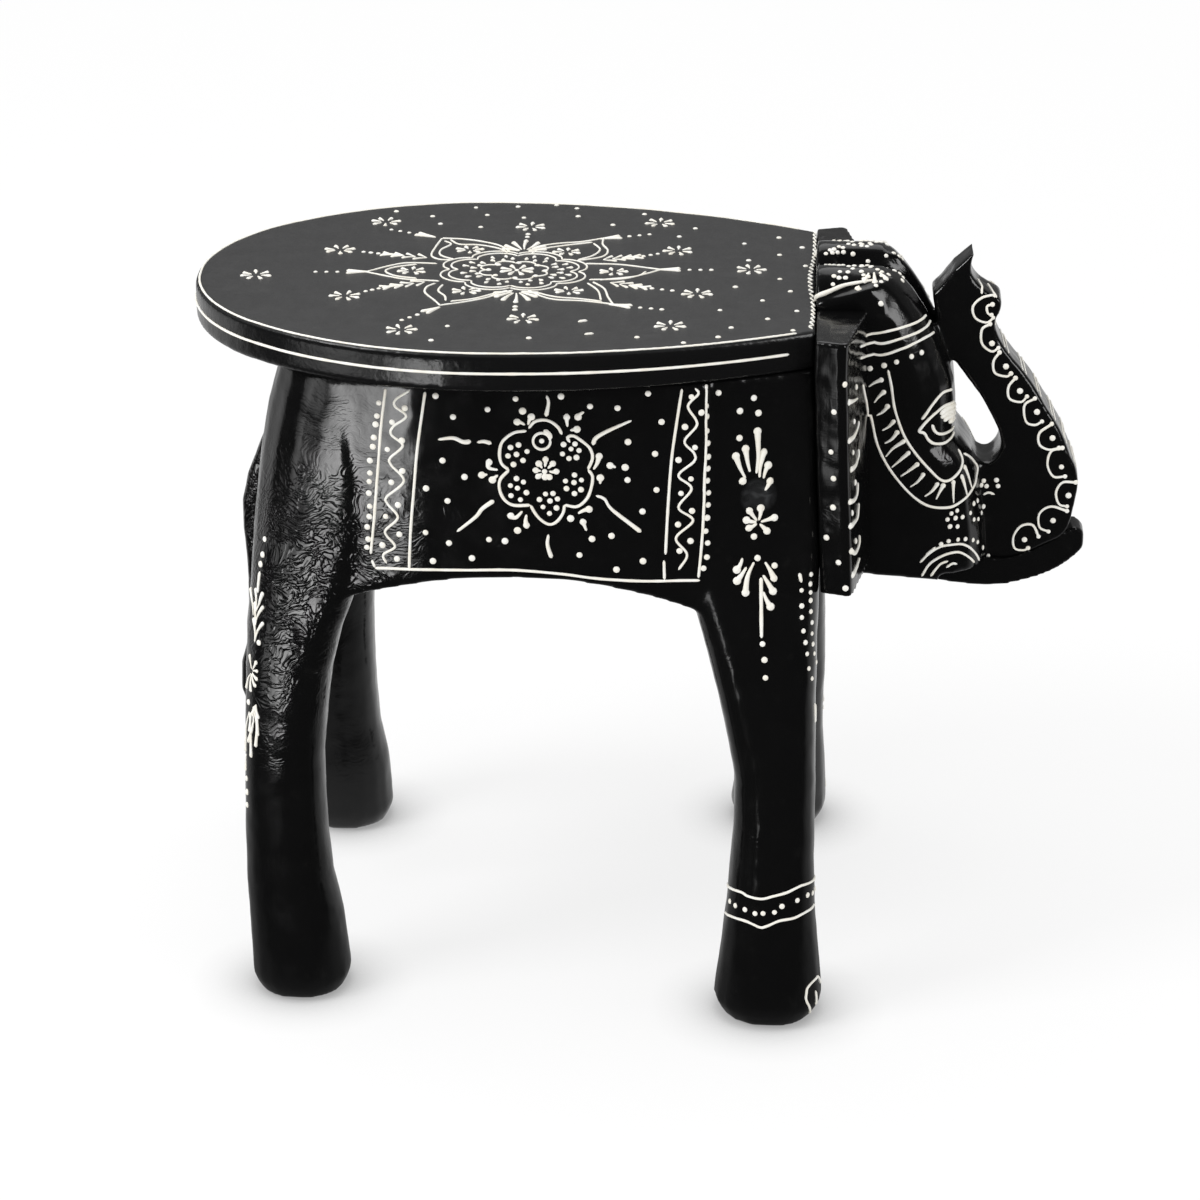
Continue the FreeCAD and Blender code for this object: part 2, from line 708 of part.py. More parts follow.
def trunk_taper(half):
    """A wedge seen from the front, full at the root and thinner at the tip."""
    low = chin_height - size("jaw_depth")
    middle = chin_height + trunk_height * TRUNK_FULL_SHARE
    tip = size("trunk_tip_thickness") / 2
    start = face_place - all_length / 2
    outline = [(half, low), (half, middle), (tip, trunk_top)]
    outline.extend([(-tip, trunk_top), (-half, middle), (-half, low)])
    points = [Vector(start, across, height) for across, height in outline]
    return Part.Face(closed_wire(points)).extrude(FORWARD * all_length)


def make_jaw(head, trunk):
    """The lower lip: a crescent under the trunk, narrowing to a rounded tip."""
    half = size("jaw_half_width")
    outline = []
    for shares in (JAW_UNDER_SHARES, JAW_TIP_SHARES, JAW_UPPER_SHARES):
        points = []
        for reach, level in shares:
            along = face_place + reach * size("jaw_reach")
            points.append((along, jaw_bottom + level * size("jaw_depth")))
        outline.extend(smooth_line(side_view(points, -half)))
    lip = slab(outline, half).common(jaw_plan(half))
    return with_holes(lip.cut(head).cut(trunk), jaw_pins())


def jaw_plan(half):
    """The upright space of the lip seen from above, narrowing from its root to its tip."""
    start = face_place - size("jaw_tuck")
    length = size("jaw_reach") + size("jaw_tuck")
    floor = jaw_bottom - size("overrun")
    right = [Vector(start + reach * length, -wide * half, floor) for reach, wide in JAW_PLAN_SHARES]
    right = smooth_line(right)
    left = [Vector(point.x, -point.y, point.z) for point in reversed(right)]
    return Part.Face(closed_wire(right + left)).extrude(UP * trunk_height)


def make_tail(core):
    """The tail: a strip that leaves the rump, hangs free and ends in a tuft."""
    span = tail_top_height - tail_end_height
    sections = []
    for level, offset, thick, wide in even_rows(TAIL_SHARES, TAIL_LEVEL_COUNT):
        height = tail_end_height + level * span
        half = thick * size("tail_thickness") / 2
        middle = rump_place(height) - offset * size("tail_thickness") - half / 2
        across = wide * size("tail_width") / 2
        corners = [
            Vector(middle - half, -across, height),
            Vector(middle + half, -across, height),
            Vector(middle + half, across, height),
            Vector(middle - half, across, height),
        ]
        radii = [half * TAIL_ROUND_SHARE] * 4
        sections.append(rounded_section(corners, radii, (SMALL_CORNER_COUNT,) * 4))
    strip = Part.makeLoft(sections, True, True)
    return with_holes(strip.cut(core), tail_pins())


def seat_outline(sketch):
    """Arcs of the oval seat, tangent where they meet, and its straight front edge."""
    half_width = size("seat_width") / 2
    front_half = size("seat_front_width") / 2
    widest = joint_top - size("seat_widest_place")
    end_radius = half_width - size("seat_end_relief")
    reach = size("seat_length") - size("seat_widest_place")
    offset = reach - end_radius
    side_radius = (offset ** 2 + half_width ** 2 - end_radius ** 2) / (2 * (half_width - end_radius))
    narrowing = half_width - front_half
    front_radius = (size("seat_widest_place") ** 2 + narrowing ** 2) / (2 * narrowing)
    end_centre = Vector(widest - offset, 0, 0)
    turn = math.atan2(side_radius - half_width, offset)
    front_turn = math.asin(size("seat_widest_place") / front_radius)
    quarter = math.pi / 2
    left_side = Vector(widest, half_width - side_radius, 0)
    right_side = Vector(widest, side_radius - half_width, 0)
    left_front = Vector(widest, half_width - front_radius, 0)
    right_front = Vector(widest, front_radius - half_width, 0)
    arcs = [
        (left_front, front_radius, quarter - front_turn, quarter),
        (left_side, side_radius, quarter, math.pi - turn),
        (end_centre, end_radius, math.pi - turn, math.pi + turn),
        (right_side, side_radius, math.pi + turn, 3 * quarter),
        (right_front, front_radius, 3 * quarter, 3 * quarter + front_turn),
    ]
    for centre, radius, start, end in arcs:
        circle = Part.Circle(centre, UP, radius)
        sketch.addGeometry(Part.ArcOfCircle(circle, start, end), False)
    front = Part.LineSegment(Vector(joint_top, -front_half, 0), Vector(joint_top, front_half, 0))
    sketch.addGeometry(front, False)
    for index in range(len(arcs)):
        sketch.addConstraint(coincident(index, 2, (index + 1), 1))
    sketch.addConstraint(coincident(5, 2, 0, 1))
    return sketch


def coincident(first, first_end, second, second_end):
    return Sketcher.Constraint("Coincident", first, first_end, second, second_end)


def base_plane(body):
    """The body's own level plane."""
    for feature in body.Origin.OriginFeatures:
        if feature.Role == "XY_Plane":
            return feature
    raise RuntimeError("the body has no level plane")


def make_board():
    """The seat plank, padded from its outline, with blind holes for its dowels and eased edges."""
    body = DOCUMENT.addObject("PartDesign::Body", "seat_board_body")
    outline = body.newObject("Sketcher::SketchObject", "seat_outline")
    outline.AttachmentSupport = (base_plane(body), "")
    outline.MapMode = "FlatFace"
    seat_outline(outline)
    pad = body.newObject("PartDesign::Pad", "plank")
    pad.Profile = outline
    pad.setExpression("Length", "sizes.board_thickness")
    DOCUMENT.recompute()
    before = pad.Shape.Volume
    holes = body.newObject("Sketcher::SketchObject", "dowel_holes")
    holes.AttachmentSupport = (base_plane(body), "")
    holes.MapMode = "FlatFace"
    for start, way, radius, length in seat_dowels():
        foot = Vector(start.x, start.y, 0)
        outline = ring(foot, FORWARD, LEFTWARD, radius + size("dowel_play"), DOWEL_SIDE_COUNT)
        for edge in outline.Edges:
            flat = Part.LineSegment(edge.Vertexes[0].Point, edge.Vertexes[1].Point)
            holes.addGeometry(flat, False)
    pocket = body.newObject("PartDesign::Pocket", "dowel_pockets")
    pocket.Profile = holes
    pocket.setExpression("Length", "sizes.seat_dowel_grip + sizes.dowel_play")
    pocket.Reversed = True
    DOCUMENT.recompute()
    if not pocket.Shape.Volume < before:
        raise RuntimeError("the dowel pockets cut nothing")
    rim = []
    for index, edge in enumerate(pocket.Shape.Edges, start=1):
        middle = edge.valueAt((edge.FirstParameter + edge.LastParameter) / 2)
        level = abs(edge.tangentAt(edge.FirstParameter).z) < 0.5
        on_arc = hasattr(edge.Curve, "Radius") and edge.Curve.Radius > size("seat_width") / 4
        if level and on_arc:
            rim.append(f"Edge{index}")
    bevel = body.newObject("PartDesign::Chamfer", "eased_edges")
    bevel.Base = (pocket, rim)
    bevel.setExpression("Size", "sizes.board_edge_bevel")
    body.Tip = bevel
    body.Placement = FreeCAD.Placement(Vector(0, 0, board_underside), FreeCAD.Rotation())
    DOCUMENT.recompute()
    body.Label = "seat_board"
    return body


def add_piece(name, shape):
    """A carved piece, as a feature of the document with its own label."""
    piece = DOCUMENT.addObject("Part::Feature", name)
    piece.Shape = shape
    piece.Label = name
    return piece


def add_dowels(name, rows, radius_alias):
    """A set of like dowels, each a whittled prism whose radius is bound to the sheet."""
    prisms = []
    for number, (start, way, radius, length) in enumerate(rows, start=1):
        prism = DOCUMENT.addObject("Part::Prism", f"{name}_{number}")
        prism.Polygon = DOWEL_SIDE_COUNT
        prism.setExpression("Circumradius", f"sizes.{radius_alias}")
        prism.Height = length
        prism.Placement = FreeCAD.Placement(start, FreeCAD.Rotation(UP, way))
        prisms.append(prism)
    group = DOCUMENT.addObject("Part::Compound", name)
    group.Links = prisms
    group.Label = name
    return group


def make_pieces():
    """Every sub-part of the stool, in the order in which it is put together."""
    core = make_core()
    head = make_head()
    trunk = make_trunk(head)
    pieces = [make_board()]
    pieces.append(add_piece("body_core", core))
    pieces.append(add_piece("side_right", make_side(-1)))
    pieces.append(add_piece("side_left", make_side(1)))
    pieces.append(add_piece("head_block", head))
    pieces.append(add_piece("trunk", trunk))
    pieces.append(add_piece("lower_jaw", make_jaw(head, trunk)))
    pieces.append(add_piece("ear_right", make_ear(-1)))
    pieces.append(add_piece("ear_left", make_ear(1)))
    pieces.append(add_piece("tail", make_tail(core)))
    pieces.append(add_dowels("seat_dowels", seat_dowels(), "dowel_radius"))
    pieces.append(add_dowels("side_dowels", side_dowels(), "dowel_radius"))
    pieces.append(add_dowels("neck_dowels", neck_dowels(), "dowel_radius"))
    pieces.append(add_dowels("ear_dowels", ear_dowels(-1) + ear_dowels(1), "small_dowel_radius"))
    pieces.append(add_dowels("trunk_dowels", trunk_dowels(), "small_dowel_radius"))
    pieces.append(add_dowels("jaw_pins", jaw_pins(), "pin_radius"))
    pieces.append(add_dowels("tail_pin", tail_pins(), "pin_radius"))
    return pieces


def check_document(pieces):
    """Stop if an object failed or a piece is empty or broken."""
    for item in DOCUMENT.Objects:
        if "Invalid" in item.State or "Error" in item.State:
            raise RuntimeError(f"{item.Name} failed: {item.State}")
    for piece in pieces:
        shape = piece.Shape
        if shape.isNull() or not shape.isValid() or not shape.Solids:
            raise RuntimeError(f"{piece.Label} has no valid solid")


def export_pieces(pieces):
    os.makedirs("parts", exist_ok=True)
    for piece in pieces:
        piece.Shape.exportStep(f"parts/{piece.Label}.step")
        box = piece.Shape.BoundBox
        volume = piece.Shape.Volume / 1000
        print(f"{piece.Label:14s} solids {len(piece.Shape.Solids)} volume {volume:8.2f} cm3")
        print(f"    x {box.XMin:.1f} {box.XMax:.1f} y {box.YMin:.1f} {box.YMax:.1f}")
        print(f"    z {box.ZMin:.1f} {box.ZMax:.1f}")


PIECES = make_pieces()
DOCUMENT.recompute()
check_document(PIECES)
export_pieces(PIECES)
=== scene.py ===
# %% [markdown]
# A carved elephant stool, black lacquer with raised cream dots and lines. The box is kept
# straight away, because the finished looks may not outgrow it.

# %% Load the frame
import bpy, bmesh
import math, random
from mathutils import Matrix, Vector, noise
from mathutils.bvhtree import BVHTree


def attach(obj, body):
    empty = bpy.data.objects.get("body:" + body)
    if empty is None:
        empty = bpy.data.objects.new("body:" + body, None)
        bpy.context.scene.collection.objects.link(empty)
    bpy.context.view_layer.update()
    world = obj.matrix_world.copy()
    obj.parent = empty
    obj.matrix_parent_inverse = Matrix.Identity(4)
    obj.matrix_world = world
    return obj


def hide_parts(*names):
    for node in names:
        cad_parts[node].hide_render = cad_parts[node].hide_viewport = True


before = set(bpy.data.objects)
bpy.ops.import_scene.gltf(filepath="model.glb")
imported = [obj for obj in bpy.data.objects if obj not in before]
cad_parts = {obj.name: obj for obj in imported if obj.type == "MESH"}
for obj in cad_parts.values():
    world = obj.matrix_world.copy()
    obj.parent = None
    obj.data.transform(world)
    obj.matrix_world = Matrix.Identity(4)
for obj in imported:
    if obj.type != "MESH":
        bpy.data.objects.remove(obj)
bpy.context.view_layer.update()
MM = 0.001
print("nodes:", ", ".join(sorted(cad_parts)))

# %% [markdown]
# The photograph looks at the stool's right side from a little above, with a long lens from
# 1.8 m away. A camera at the same place gives the same perspective, so the render and the
# photograph can be laid side by side.

# %% Camera
CAMERA_PLACE = Vector((0.06996, -1.57531, 0.81195))
CAMERA_TARGET = Vector((-0.01898, 0.0, 0.14898))
camera_data = bpy.data.cameras.new("photo_view")
camera_data.lens = 115.75
camera_data.sensor_width = 36.0
camera = bpy.data.objects.new("photo_view", camera_data)
camera.location = CAMERA_PLACE
aim = CAMERA_TARGET - camera.location
camera.rotation_euler = aim.to_track_quat("-Z", "Y").to_euler()
bpy.context.scene.collection.objects.link(camera)
bpy.context.scene.camera = camera
print("camera distance", round(aim.length, 3), "m")

# %% [markdown]
# ## Places in the photograph
# The places of the cream paint were read in enlarged parts of the photograph, and some
# were moved. A scratch script then worked out the lists further on, which give them in the
# photograph's pixels, across and down from its top left corner, mostly to half a pixel. The way
# from the camera through such a place meets the stool where the mark lies: on the level seat
# top, on the upright flank, or on the sawn blocks of the frame.

# %% Places in the photograph
PHOTO_SIZE = 1200
PHOTO_MIDDLE = PHOTO_SIZE / 2
PIXELS_AHEAD = camera_data.lens / camera_data.sensor_width * PHOTO_SIZE
camera_turn = camera.rotation_euler.to_matrix()


def search_tree(pieces):
    """One search tree over the faces of some pieces."""
    corners, faces = [], []
    for piece in pieces:
        start = len(corners)
        corners.extend(vertex.co.copy() for vertex in piece.data.vertices)
        faces.extend([start + index for index in face.vertices] for face in piece.data.polygons)
    return BVHTree.FromPolygons(corners, faces)


def seen_way(pixel):
    """The way from the camera through a place in the photograph."""
    across, down = pixel
    return camera_turn @ Vector((across - PHOTO_MIDDLE, PHOTO_MIDDLE - down, -PIXELS_AHEAD))


def seen_on_level(pixels, axis, level):
    """Places of the photograph on a level of the stool, in millimetres. Axis 1 is sideways, 2 up."""
    start = camera.location / MM
    ways = [seen_way(pixel) for pixel in pixels]
    return [start + way * ((level - start[axis]) / way[axis]) for way in ways]


sawn_blocks = search_tree(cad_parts.values())


def seen_on_block(point):
    """A place of the photograph on the sawn blocks. Three numbers are already millimetres there."""
    if len(point) == 3:
        return Vector(point)
    place, _, _, _ = sawn_blocks.ray_cast(camera.location, seen_way(point).normalized())
    return place / MM


def seen_on_blocks(points):
    return [seen_on_block(point) for point in points]


def lines_on_blocks(lines):
    return [seen_on_blocks(points) for points in lines]


print("the photograph looks through", len(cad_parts), "nodes")

# %% [markdown]
# ## Small helpers for node materials
# A material is a little factory of nodes. These helpers add a node, wire an input and set a
# value in one line each, so a finish below reads from the pattern to the surface.

# %% Material helpers
def new_finish(name):
    finish = bpy.data.materials.new(name)
    finish.use_nodes = True
    finish.node_tree.nodes.clear()
    return finish, finish.node_tree


def add_node(tree, kind, inputs=None, **settings):
    node = tree.nodes.new(kind)
    for name, value in settings.items():
        setattr(node, name, value)
    for name, value in (inputs or {}).items():
        if isinstance(value, bpy.types.NodeSocket):
            tree.links.new(value, node.inputs[name])
        else:
            node.inputs[name].default_value = value
    return node


def math_node(tree, operation, first, second=0.0):
    return add_node(tree, "ShaderNodeMath", {0: first, 1: second}, operation=operation).outputs[0]


def noise_node(tree, where, scale, detail=3.0, roughness=0.5):
    settings = {"Vector": where, "Scale": scale, "Detail": detail, "Roughness": roughness}
    return add_node(tree, "ShaderNodeTexNoise", settings).outputs["Fac"]


def ramp_node(tree, value, low, high, low_out=0.0, high_out=1.0):
    settings = {"Value": value, "From Min": low, "From Max": high, "To Min": low_out, "To Max": high_out}
    return add_node(tree, "ShaderNodeMapRange", settings, clamp=True).outputs[0]


# For each kind of mix: the sockets of the first value, the second value and the result
MIX_SOCKETS = {"FLOAT": (2, 3, 0), "VECTOR": (4, 5, 1), "RGBA": (6, 7, 2)}


def mix_node(tree, kind, share, first, second):
    first_socket, second_socket, result = MIX_SOCKETS[kind]
    inputs = {0: share, first_socket: first, second_socket: second}
    return add_node(tree, "ShaderNodeMix", inputs, data_type=kind).outputs[result]


def stretched(tree, where, scale):
    """The same place, with each axis scaled on its own, for streaks and brush marks."""
    return add_node(tree, "ShaderNodeMapping", {"Vector": where, "Scale": scale}).outputs[0]


def bump_node(tree, height, distance, strength=1.0, below=None):
    inputs = {"Height": height, "Distance": distance, "Strength": strength}
    if below is not None:
        inputs["Normal"] = below
    return add_node(tree, "ShaderNodeBump", inputs).outputs[0]


def paint_surface(tree, colour, roughness, normal, **more):
    inputs = {"Base Color": colour, "Roughness": roughness, "Normal": normal, **more}
    return add_node(tree, "ShaderNodeBsdfPrincipled", inputs)


def close_finish(tree, surface):
    output = add_node(tree, "ShaderNodeOutputMaterial")
    tree.links.new(surface.outputs[0], output.inputs["Surface"])


print("material helpers ready")

# %% [markdown]
# ## Black lacquer
# Thick black paint brushed over carved mango wood: nearly black, glossy, with brush strokes and
# the shallow marks of the gouge showing through in the highlights. Over the haunches it has dried
# into fine wrinkles. Three layers of bump do this: wide dents, brush streaks and small wrinkles.
# The wrinkles are the folds of a fine noise with a little wave in it. A mask keeps them to the
# haunches and, much fainter, to a few patches elsewhere.

# %% Black lacquer
LACQUER_BLACK = (0.0030, 0.0030, 0.0031, 1.0)
LACQUER_DUST = (0.0065, 0.0064, 0.0062, 1.0)
LACQUER_RUBBED = (0.045, 0.046, 0.048, 1.0)
LACQUER_IOR = 1.5
# Middle and size, in metres: in the spray on the near shoulder, and on the near front foot
RUBBED_PATCHES = [((0.0515, -0.083, 0.2325), 0.0075), ((0.056, -0.1125, 0.013), 0.0042)]


def haunch_mask(tree, where):
    """One behind the saddle cloth and above the leg, fading out under the seat."""
    place = add_node(tree, "ShaderNodeSeparateXYZ", {0: where})
    behind = ramp_node(tree, place.outputs["X"], -0.080, -0.135)
    above = ramp_node(tree, place.outputs["Z"], 0.100, 0.190)
    below_seat = ramp_node(tree, place.outputs["Z"], 0.252, 0.214, 0.12, 1.0)
    return math_node(tree, "MULTIPLY", math_node(tree, "MULTIPLY", behind, above), below_seat)


def rub_patches(tree, where, colour, spread, fine):
    """Worn patches with frayed edges, where the black paint has gone grey."""
    for middle, size in RUBBED_PATCHES:
        away = add_node(tree, "ShaderNodeVectorMath", {0: where, 1: middle}, operation="DISTANCE")
        fraying = math_node(tree, "MULTIPLY", spread, size * 0.8)
        frayed = math_node(tree, "ADD", away.outputs["Value"], fraying)
        rubbed = ramp_node(tree, frayed, size * 1.5, size * 0.9, 0.0, 0.85)
        rubbed = math_node(tree, "MULTIPLY", rubbed, ramp_node(tree, fine, 0.40, 0.65, 0.35, 1.0))
        colour = mix_node(tree, "RGBA", rubbed, colour, LACQUER_RUBBED)
    return colour


def make_black_lacquer():
    finish, tree = new_finish("black_lacquer")
    where = add_node(tree, "ShaderNodeTexCoord").outputs["Object"]
    dents = noise_node(tree, where, 55.0, 2.0, 0.45)
    brush = noise_node(tree, stretched(tree, where, (150.0, 150.0, 28.0)), 1.0, 3.0, 0.5)
    bent = add_node(tree, "ShaderNodeTexNoise", {"Vector": where, "Scale": 42.0, "Detail": 2.0})
    swirl = mix_node(tree, "VECTOR", 0.035, where, bent.outputs["Color"])
    wave = {"Vector": swirl, "Scale": 120.0, "Distortion": 16.0, "Detail": 4.0, "Detail Scale": 0.6}
    ridges = add_node(tree, "ShaderNodeTexWave", wave, wave_type="BANDS", bands_direction="Z")
    fine = noise_node(tree, stretched(tree, swirl, (210.0, 210.0, 400.0)), 1.0, 1.5, 0.45)
    folds = math_node(tree, "ABSOLUTE", math_node(tree, "SUBTRACT", fine, 0.5))
    crackle = ramp_node(tree, folds, 0.0, 0.12, 0.60, 0.0)
    wrinkles = math_node(tree, "ADD", math_node(tree, "MULTIPLY", ridges.outputs["Fac"], 0.07), crackle)
    spread = noise_node(tree, where, 24.0, 2.0, 0.5)
    patchy = ramp_node(tree, spread, 0.46, 0.68, 0.01, 0.16)
    haunch = math_node(tree, "MULTIPLY", haunch_mask(tree, where), 0.75)
    wrinkle_height = math_node(tree, "MULTIPLY", wrinkles, math_node(tree, "MAXIMUM", haunch, patchy))
    normal = bump_node(tree, dents, 0.0016, 0.32)
    normal = bump_node(tree, brush, 0.00018, 0.5, normal)
    normal = bump_node(tree, wrinkle_height, 0.0005, 0.8, normal)
    dust = ramp_node(tree, noise_node(tree, where, 160.0, 5.0, 0.65), 0.60, 0.78)
    colour = mix_node(tree, "RGBA", dust, LACQUER_BLACK, LACQUER_DUST)
    colour = rub_patches(tree, where, colour, spread, fine)
    gloss = ramp_node(tree, noise_node(tree, where, 90.0, 4.0, 0.6), 0.35, 0.70, 0.10, 0.20)
    close_finish(tree, paint_surface(tree, colour, gloss, normal, IOR=LACQUER_IOR))
    return finish


black_lacquer = make_black_lacquer()
print("black lacquer:", len(black_lacquer.node_tree.nodes), "nodes")

# %% [markdown]
# ## Seat lacquer
# The seat top is the same black paint rubbed down to a satin sheen, so it spreads the light and
# looks dark grey. The grain runs along the stool and shows as faint streaks. The edge of the
# plank keeps the gloss, which a mask on the height gives.

# %% Seat lacquer
SEAT_EDGE_BLACK = (0.0045, 0.0045, 0.0047, 1.0)
SEAT_DARK_GREY = (0.012, 0.0122, 0.0125, 1.0)
SEAT_LIGHT_GREY = (0.018, 0.0183, 0.0187, 1.0)
SEAT_GRAIN_GREY = (0.026, 0.0265, 0.027, 1.0)
SEAT_EDGE_GLOSS = 0.20


def make_seat_lacquer():
    finish, tree = new_finish("seat_lacquer")
    where = add_node(tree, "ShaderNodeTexCoord").outputs["Object"]
    grain = noise_node(tree, stretched(tree, where, (34.0, 900.0, 300.0)), 1.0, 4.0, 0.6)
    rubbing = noise_node(tree, stretched(tree, where, (120.0, 60.0, 60.0)), 1.0, 4.0, 0.6)
    dents = noise_node(tree, where, 120.0, 4.0, 0.55)
    place = add_node(tree, "ShaderNodeSeparateXYZ", {0: where})
    top = ramp_node(tree, place.outputs["Z"], 0.2982, 0.2996)
    grey = mix_node(tree, "RGBA", rubbing, SEAT_DARK_GREY, SEAT_LIGHT_GREY)
    grey = mix_node(tree, "RGBA", ramp_node(tree, grain, 0.45, 0.75, 0.0, 0.35), grey, SEAT_GRAIN_GREY)
    colour = mix_node(tree, "RGBA", top, SEAT_EDGE_BLACK, grey)
    satin = ramp_node(tree, rubbing, 0.3, 0.7, 0.40, 0.50)
    gloss = mix_node(tree, "FLOAT", top, SEAT_EDGE_GLOSS, satin)
    normal = bump_node(tree, dents, 0.0008, 0.5)
    normal = bump_node(tree, grain, 0.00012, 0.6, normal)
    close_finish(tree, paint_surface(tree, colour, gloss, normal, IOR=LACQUER_IOR))
    return finish


seat_lacquer = make_seat_lacquer()
print("seat lacquer:", len(seat_lacquer.node_tree.nodes), "nodes")

# %% [markdown]
# ## Cream paint and bare wood
# The raised lines are thick cream paint from a cone, a little yellower where it is thick. The
# hidden dowels are bare mango wood, with rings stretched along the piece.

# %% Cream paint and bare wood
CREAM_THIN = (0.93, 0.92, 0.87, 1.0)
CREAM_THICK = (0.88, 0.84, 0.74, 1.0)
WOOD_DARK = (0.42, 0.27, 0.13, 1.0)
WOOD_LIGHT = (0.60, 0.43, 0.24, 1.0)


def make_cream_paint():
    finish, tree = new_finish("cream_paint")
    where = add_node(tree, "ShaderNodeTexCoord").outputs["Object"]
    tone = ramp_node(tree, noise_node(tree, where, 140.0, 3.0, 0.6), 0.35, 0.68)
    colour = mix_node(tree, "RGBA", tone, CREAM_THIN, CREAM_THICK)
    normal = bump_node(tree, noise_node(tree, where, 900.0, 2.0, 0.5), 0.0001, 0.4)
    roughness = ramp_node(tree, tone, 0.0, 1.0, 0.38, 0.52)
    close_finish(tree, paint_surface(tree, colour, roughness, normal))
    return finish


def make_bare_wood():
    finish, tree = new_finish("bare_wood")
    where = add_node(tree, "ShaderNodeTexCoord").outputs["Object"]
    rings = noise_node(tree, stretched(tree, where, (90.0, 600.0, 600.0)), 1.0, 4.0, 0.6)
    colour = mix_node(tree, "RGBA", rings, WOOD_DARK, WOOD_LIGHT)
    normal = bump_node(tree, rings, 0.0002, 0.5)
    close_finish(tree, paint_surface(tree, colour, ramp_node(tree, rings, 0.3, 0.7, 0.55, 0.7), normal))
    return finish


cream_paint = make_cream_paint()
bare_wood = make_bare_wood()
DOWELS = ("seat_dowels", "side_dowels", "neck_dowels", "ear_dowels", "trunk_dowels", "jaw_pins", "tail_pin")
for name in DOWELS:
    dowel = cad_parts[name]
    dowel.data.materials.clear()
    dowel.data.materials.append(bare_wood)
print("cream paint and bare wood ready for", len(DOWELS), "sets of dowels")

# %% [markdown]
# ## From sawn blocks to carved wood
# The CAD solids have the sawn shapes with hard edges. A carver rounds every edge and leaves
# small dents. A voxel remesh makes one even skin over the pieces that are glued and painted
# over, a few smoothing steps soften the edges, and a seeded noise moves the skin in and out by
# a few tenths of a millimetre, as a gouge does.

# %% Carving helpers
def joined_copy(piece_name, node_names):
    """One new mesh from copies of CAD nodes, with their doubled corners merged."""
    shape = bmesh.new()
    for name in node_names:
        shape.from_mesh(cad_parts[name].data)
    bmesh.ops.remove_doubles(shape, verts=shape.verts, dist=1e-6)
    mesh = bpy.data.meshes.new(piece_name)
    shape.to_mesh(mesh)
    shape.free()
    piece = bpy.data.objects.new(piece_name, mesh)
    bpy.context.scene.collection.objects.link(piece)
    return piece


def plain_mesh(piece):
    """Turn the piece's live modifiers into its own mesh, and drop them."""
    graph = bpy.context.evaluated_depsgraph_get()
    mesh = bpy.data.meshes.new_from_object(piece.evaluated_get(graph))
    piece.modifiers.clear()
    old = piece.data
    piece.data = mesh
    bpy.data.meshes.remove(old)
    mesh.name = piece.name
    return piece


def carved_skin(piece, voxel, smooth_steps):
    """An even skin over the piece, with its edges worn round."""
    remesh = piece.modifiers.new("skin", "REMESH")
    remesh.mode = "VOXEL"
    remesh.voxel_size = voxel
    remesh.use_smooth_shade = True
    worn = piece.modifiers.new("worn", "SMOOTH")
    worn.factor = 0.5
    worn.iterations = smooth_steps
    return plain_mesh(piece)


def gouge_marks(piece, depth, width, seed):
    """Move the skin in and out along its normals, the way a hand gouge leaves it."""
    shift = Vector((seed * 7.3, seed * 3.1, seed * 5.7))
    moved = []
    for vertex in piece.data.vertices:
        place = vertex.co / width + shift
        wave = noise.noise(place) + 0.4 * noise.noise(place * 2.7)
        moved.extend(vertex.co + vertex.normal * (wave * depth))
    piece.data.vertices.foreach_set("co", moved)
    piece.data.update()


def finish_piece(piece, material, slot, *nodes):
    """Give a piece its paint, let it ride on the stool, and let it stand for its CAD nodes."""
    piece.data.materials.clear()
    piece.data.materials.append(material)
    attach(piece, "root")
    if nodes:
        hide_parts(*nodes)
    print(piece.name, "faces", len(piece.data.polygons))


print("carving helpers ready")

# %% [markdown]
# ## Body
# The two side planks and the core between them are glued and painted over, so on the real stool
# no seam shows. They become one skin. The photograph shows rounded haunches, so behind the
# saddle cloth the flanks slope inwards, and a little more towards the seat. Its far front foot
# stands slightly further forwards than the sawn one.

# %% Carved body
HIP_START = -84
HIP_EASE_IN = 16
HIP_EASE_OUT = 44
HIP_END = 68
HIP_SLOPE = 0.115
HIP_SLOPE_UNDER_SEAT = 0.045
FAR_FOOT_STEP = 0.6
FAR_FOOT_STRETCH = 1.1
FAR_FOOT_FRONT = 80
FAR_FOOT_LENGTH = 42


def smooth_share(value, low, high):
    share = max(0.0, min(1.0, (value - low) / (high - low)))
    return share * share * (3 - 2 * share)


def hip_slope(behind):
    """Distance behind the cloth, eased in at its start and out again at its end."""
    if behind < HIP_EASE_IN:
        return behind * behind / (2 * HIP_EASE_IN)
    if behind < HIP_EASE_OUT:
        return behind - HIP_EASE_IN / 2
    rest = min(behind, HIP_END) - HIP_EASE_OUT
    return HIP_EASE_OUT - HIP_EASE_IN / 2 + rest - rest * rest / (2 * (HIP_END - HIP_EASE_OUT))


def round_the_hips(piece):
    """Carve the flanks inwards behind the cloth, a little more towards the seat."""
    for vertex in piece.data.vertices:
        forward, sideways, height = vertex.co / MM
        outer = smooth_share(abs(sideways), 55, 80)
        if forward < HIP_START and height > 120 and outer > 0:
            steepness = HIP_SLOPE * smooth_share(height, 130, 200)
            steepness += HIP_SLOPE_UNDER_SEAT * smooth_share(height, 205, 290)
            depth = steepness * hip_slope(HIP_START - forward)
            vertex.co.y -= math.copysign(depth * outer * MM, sideways)
    piece.data.update()


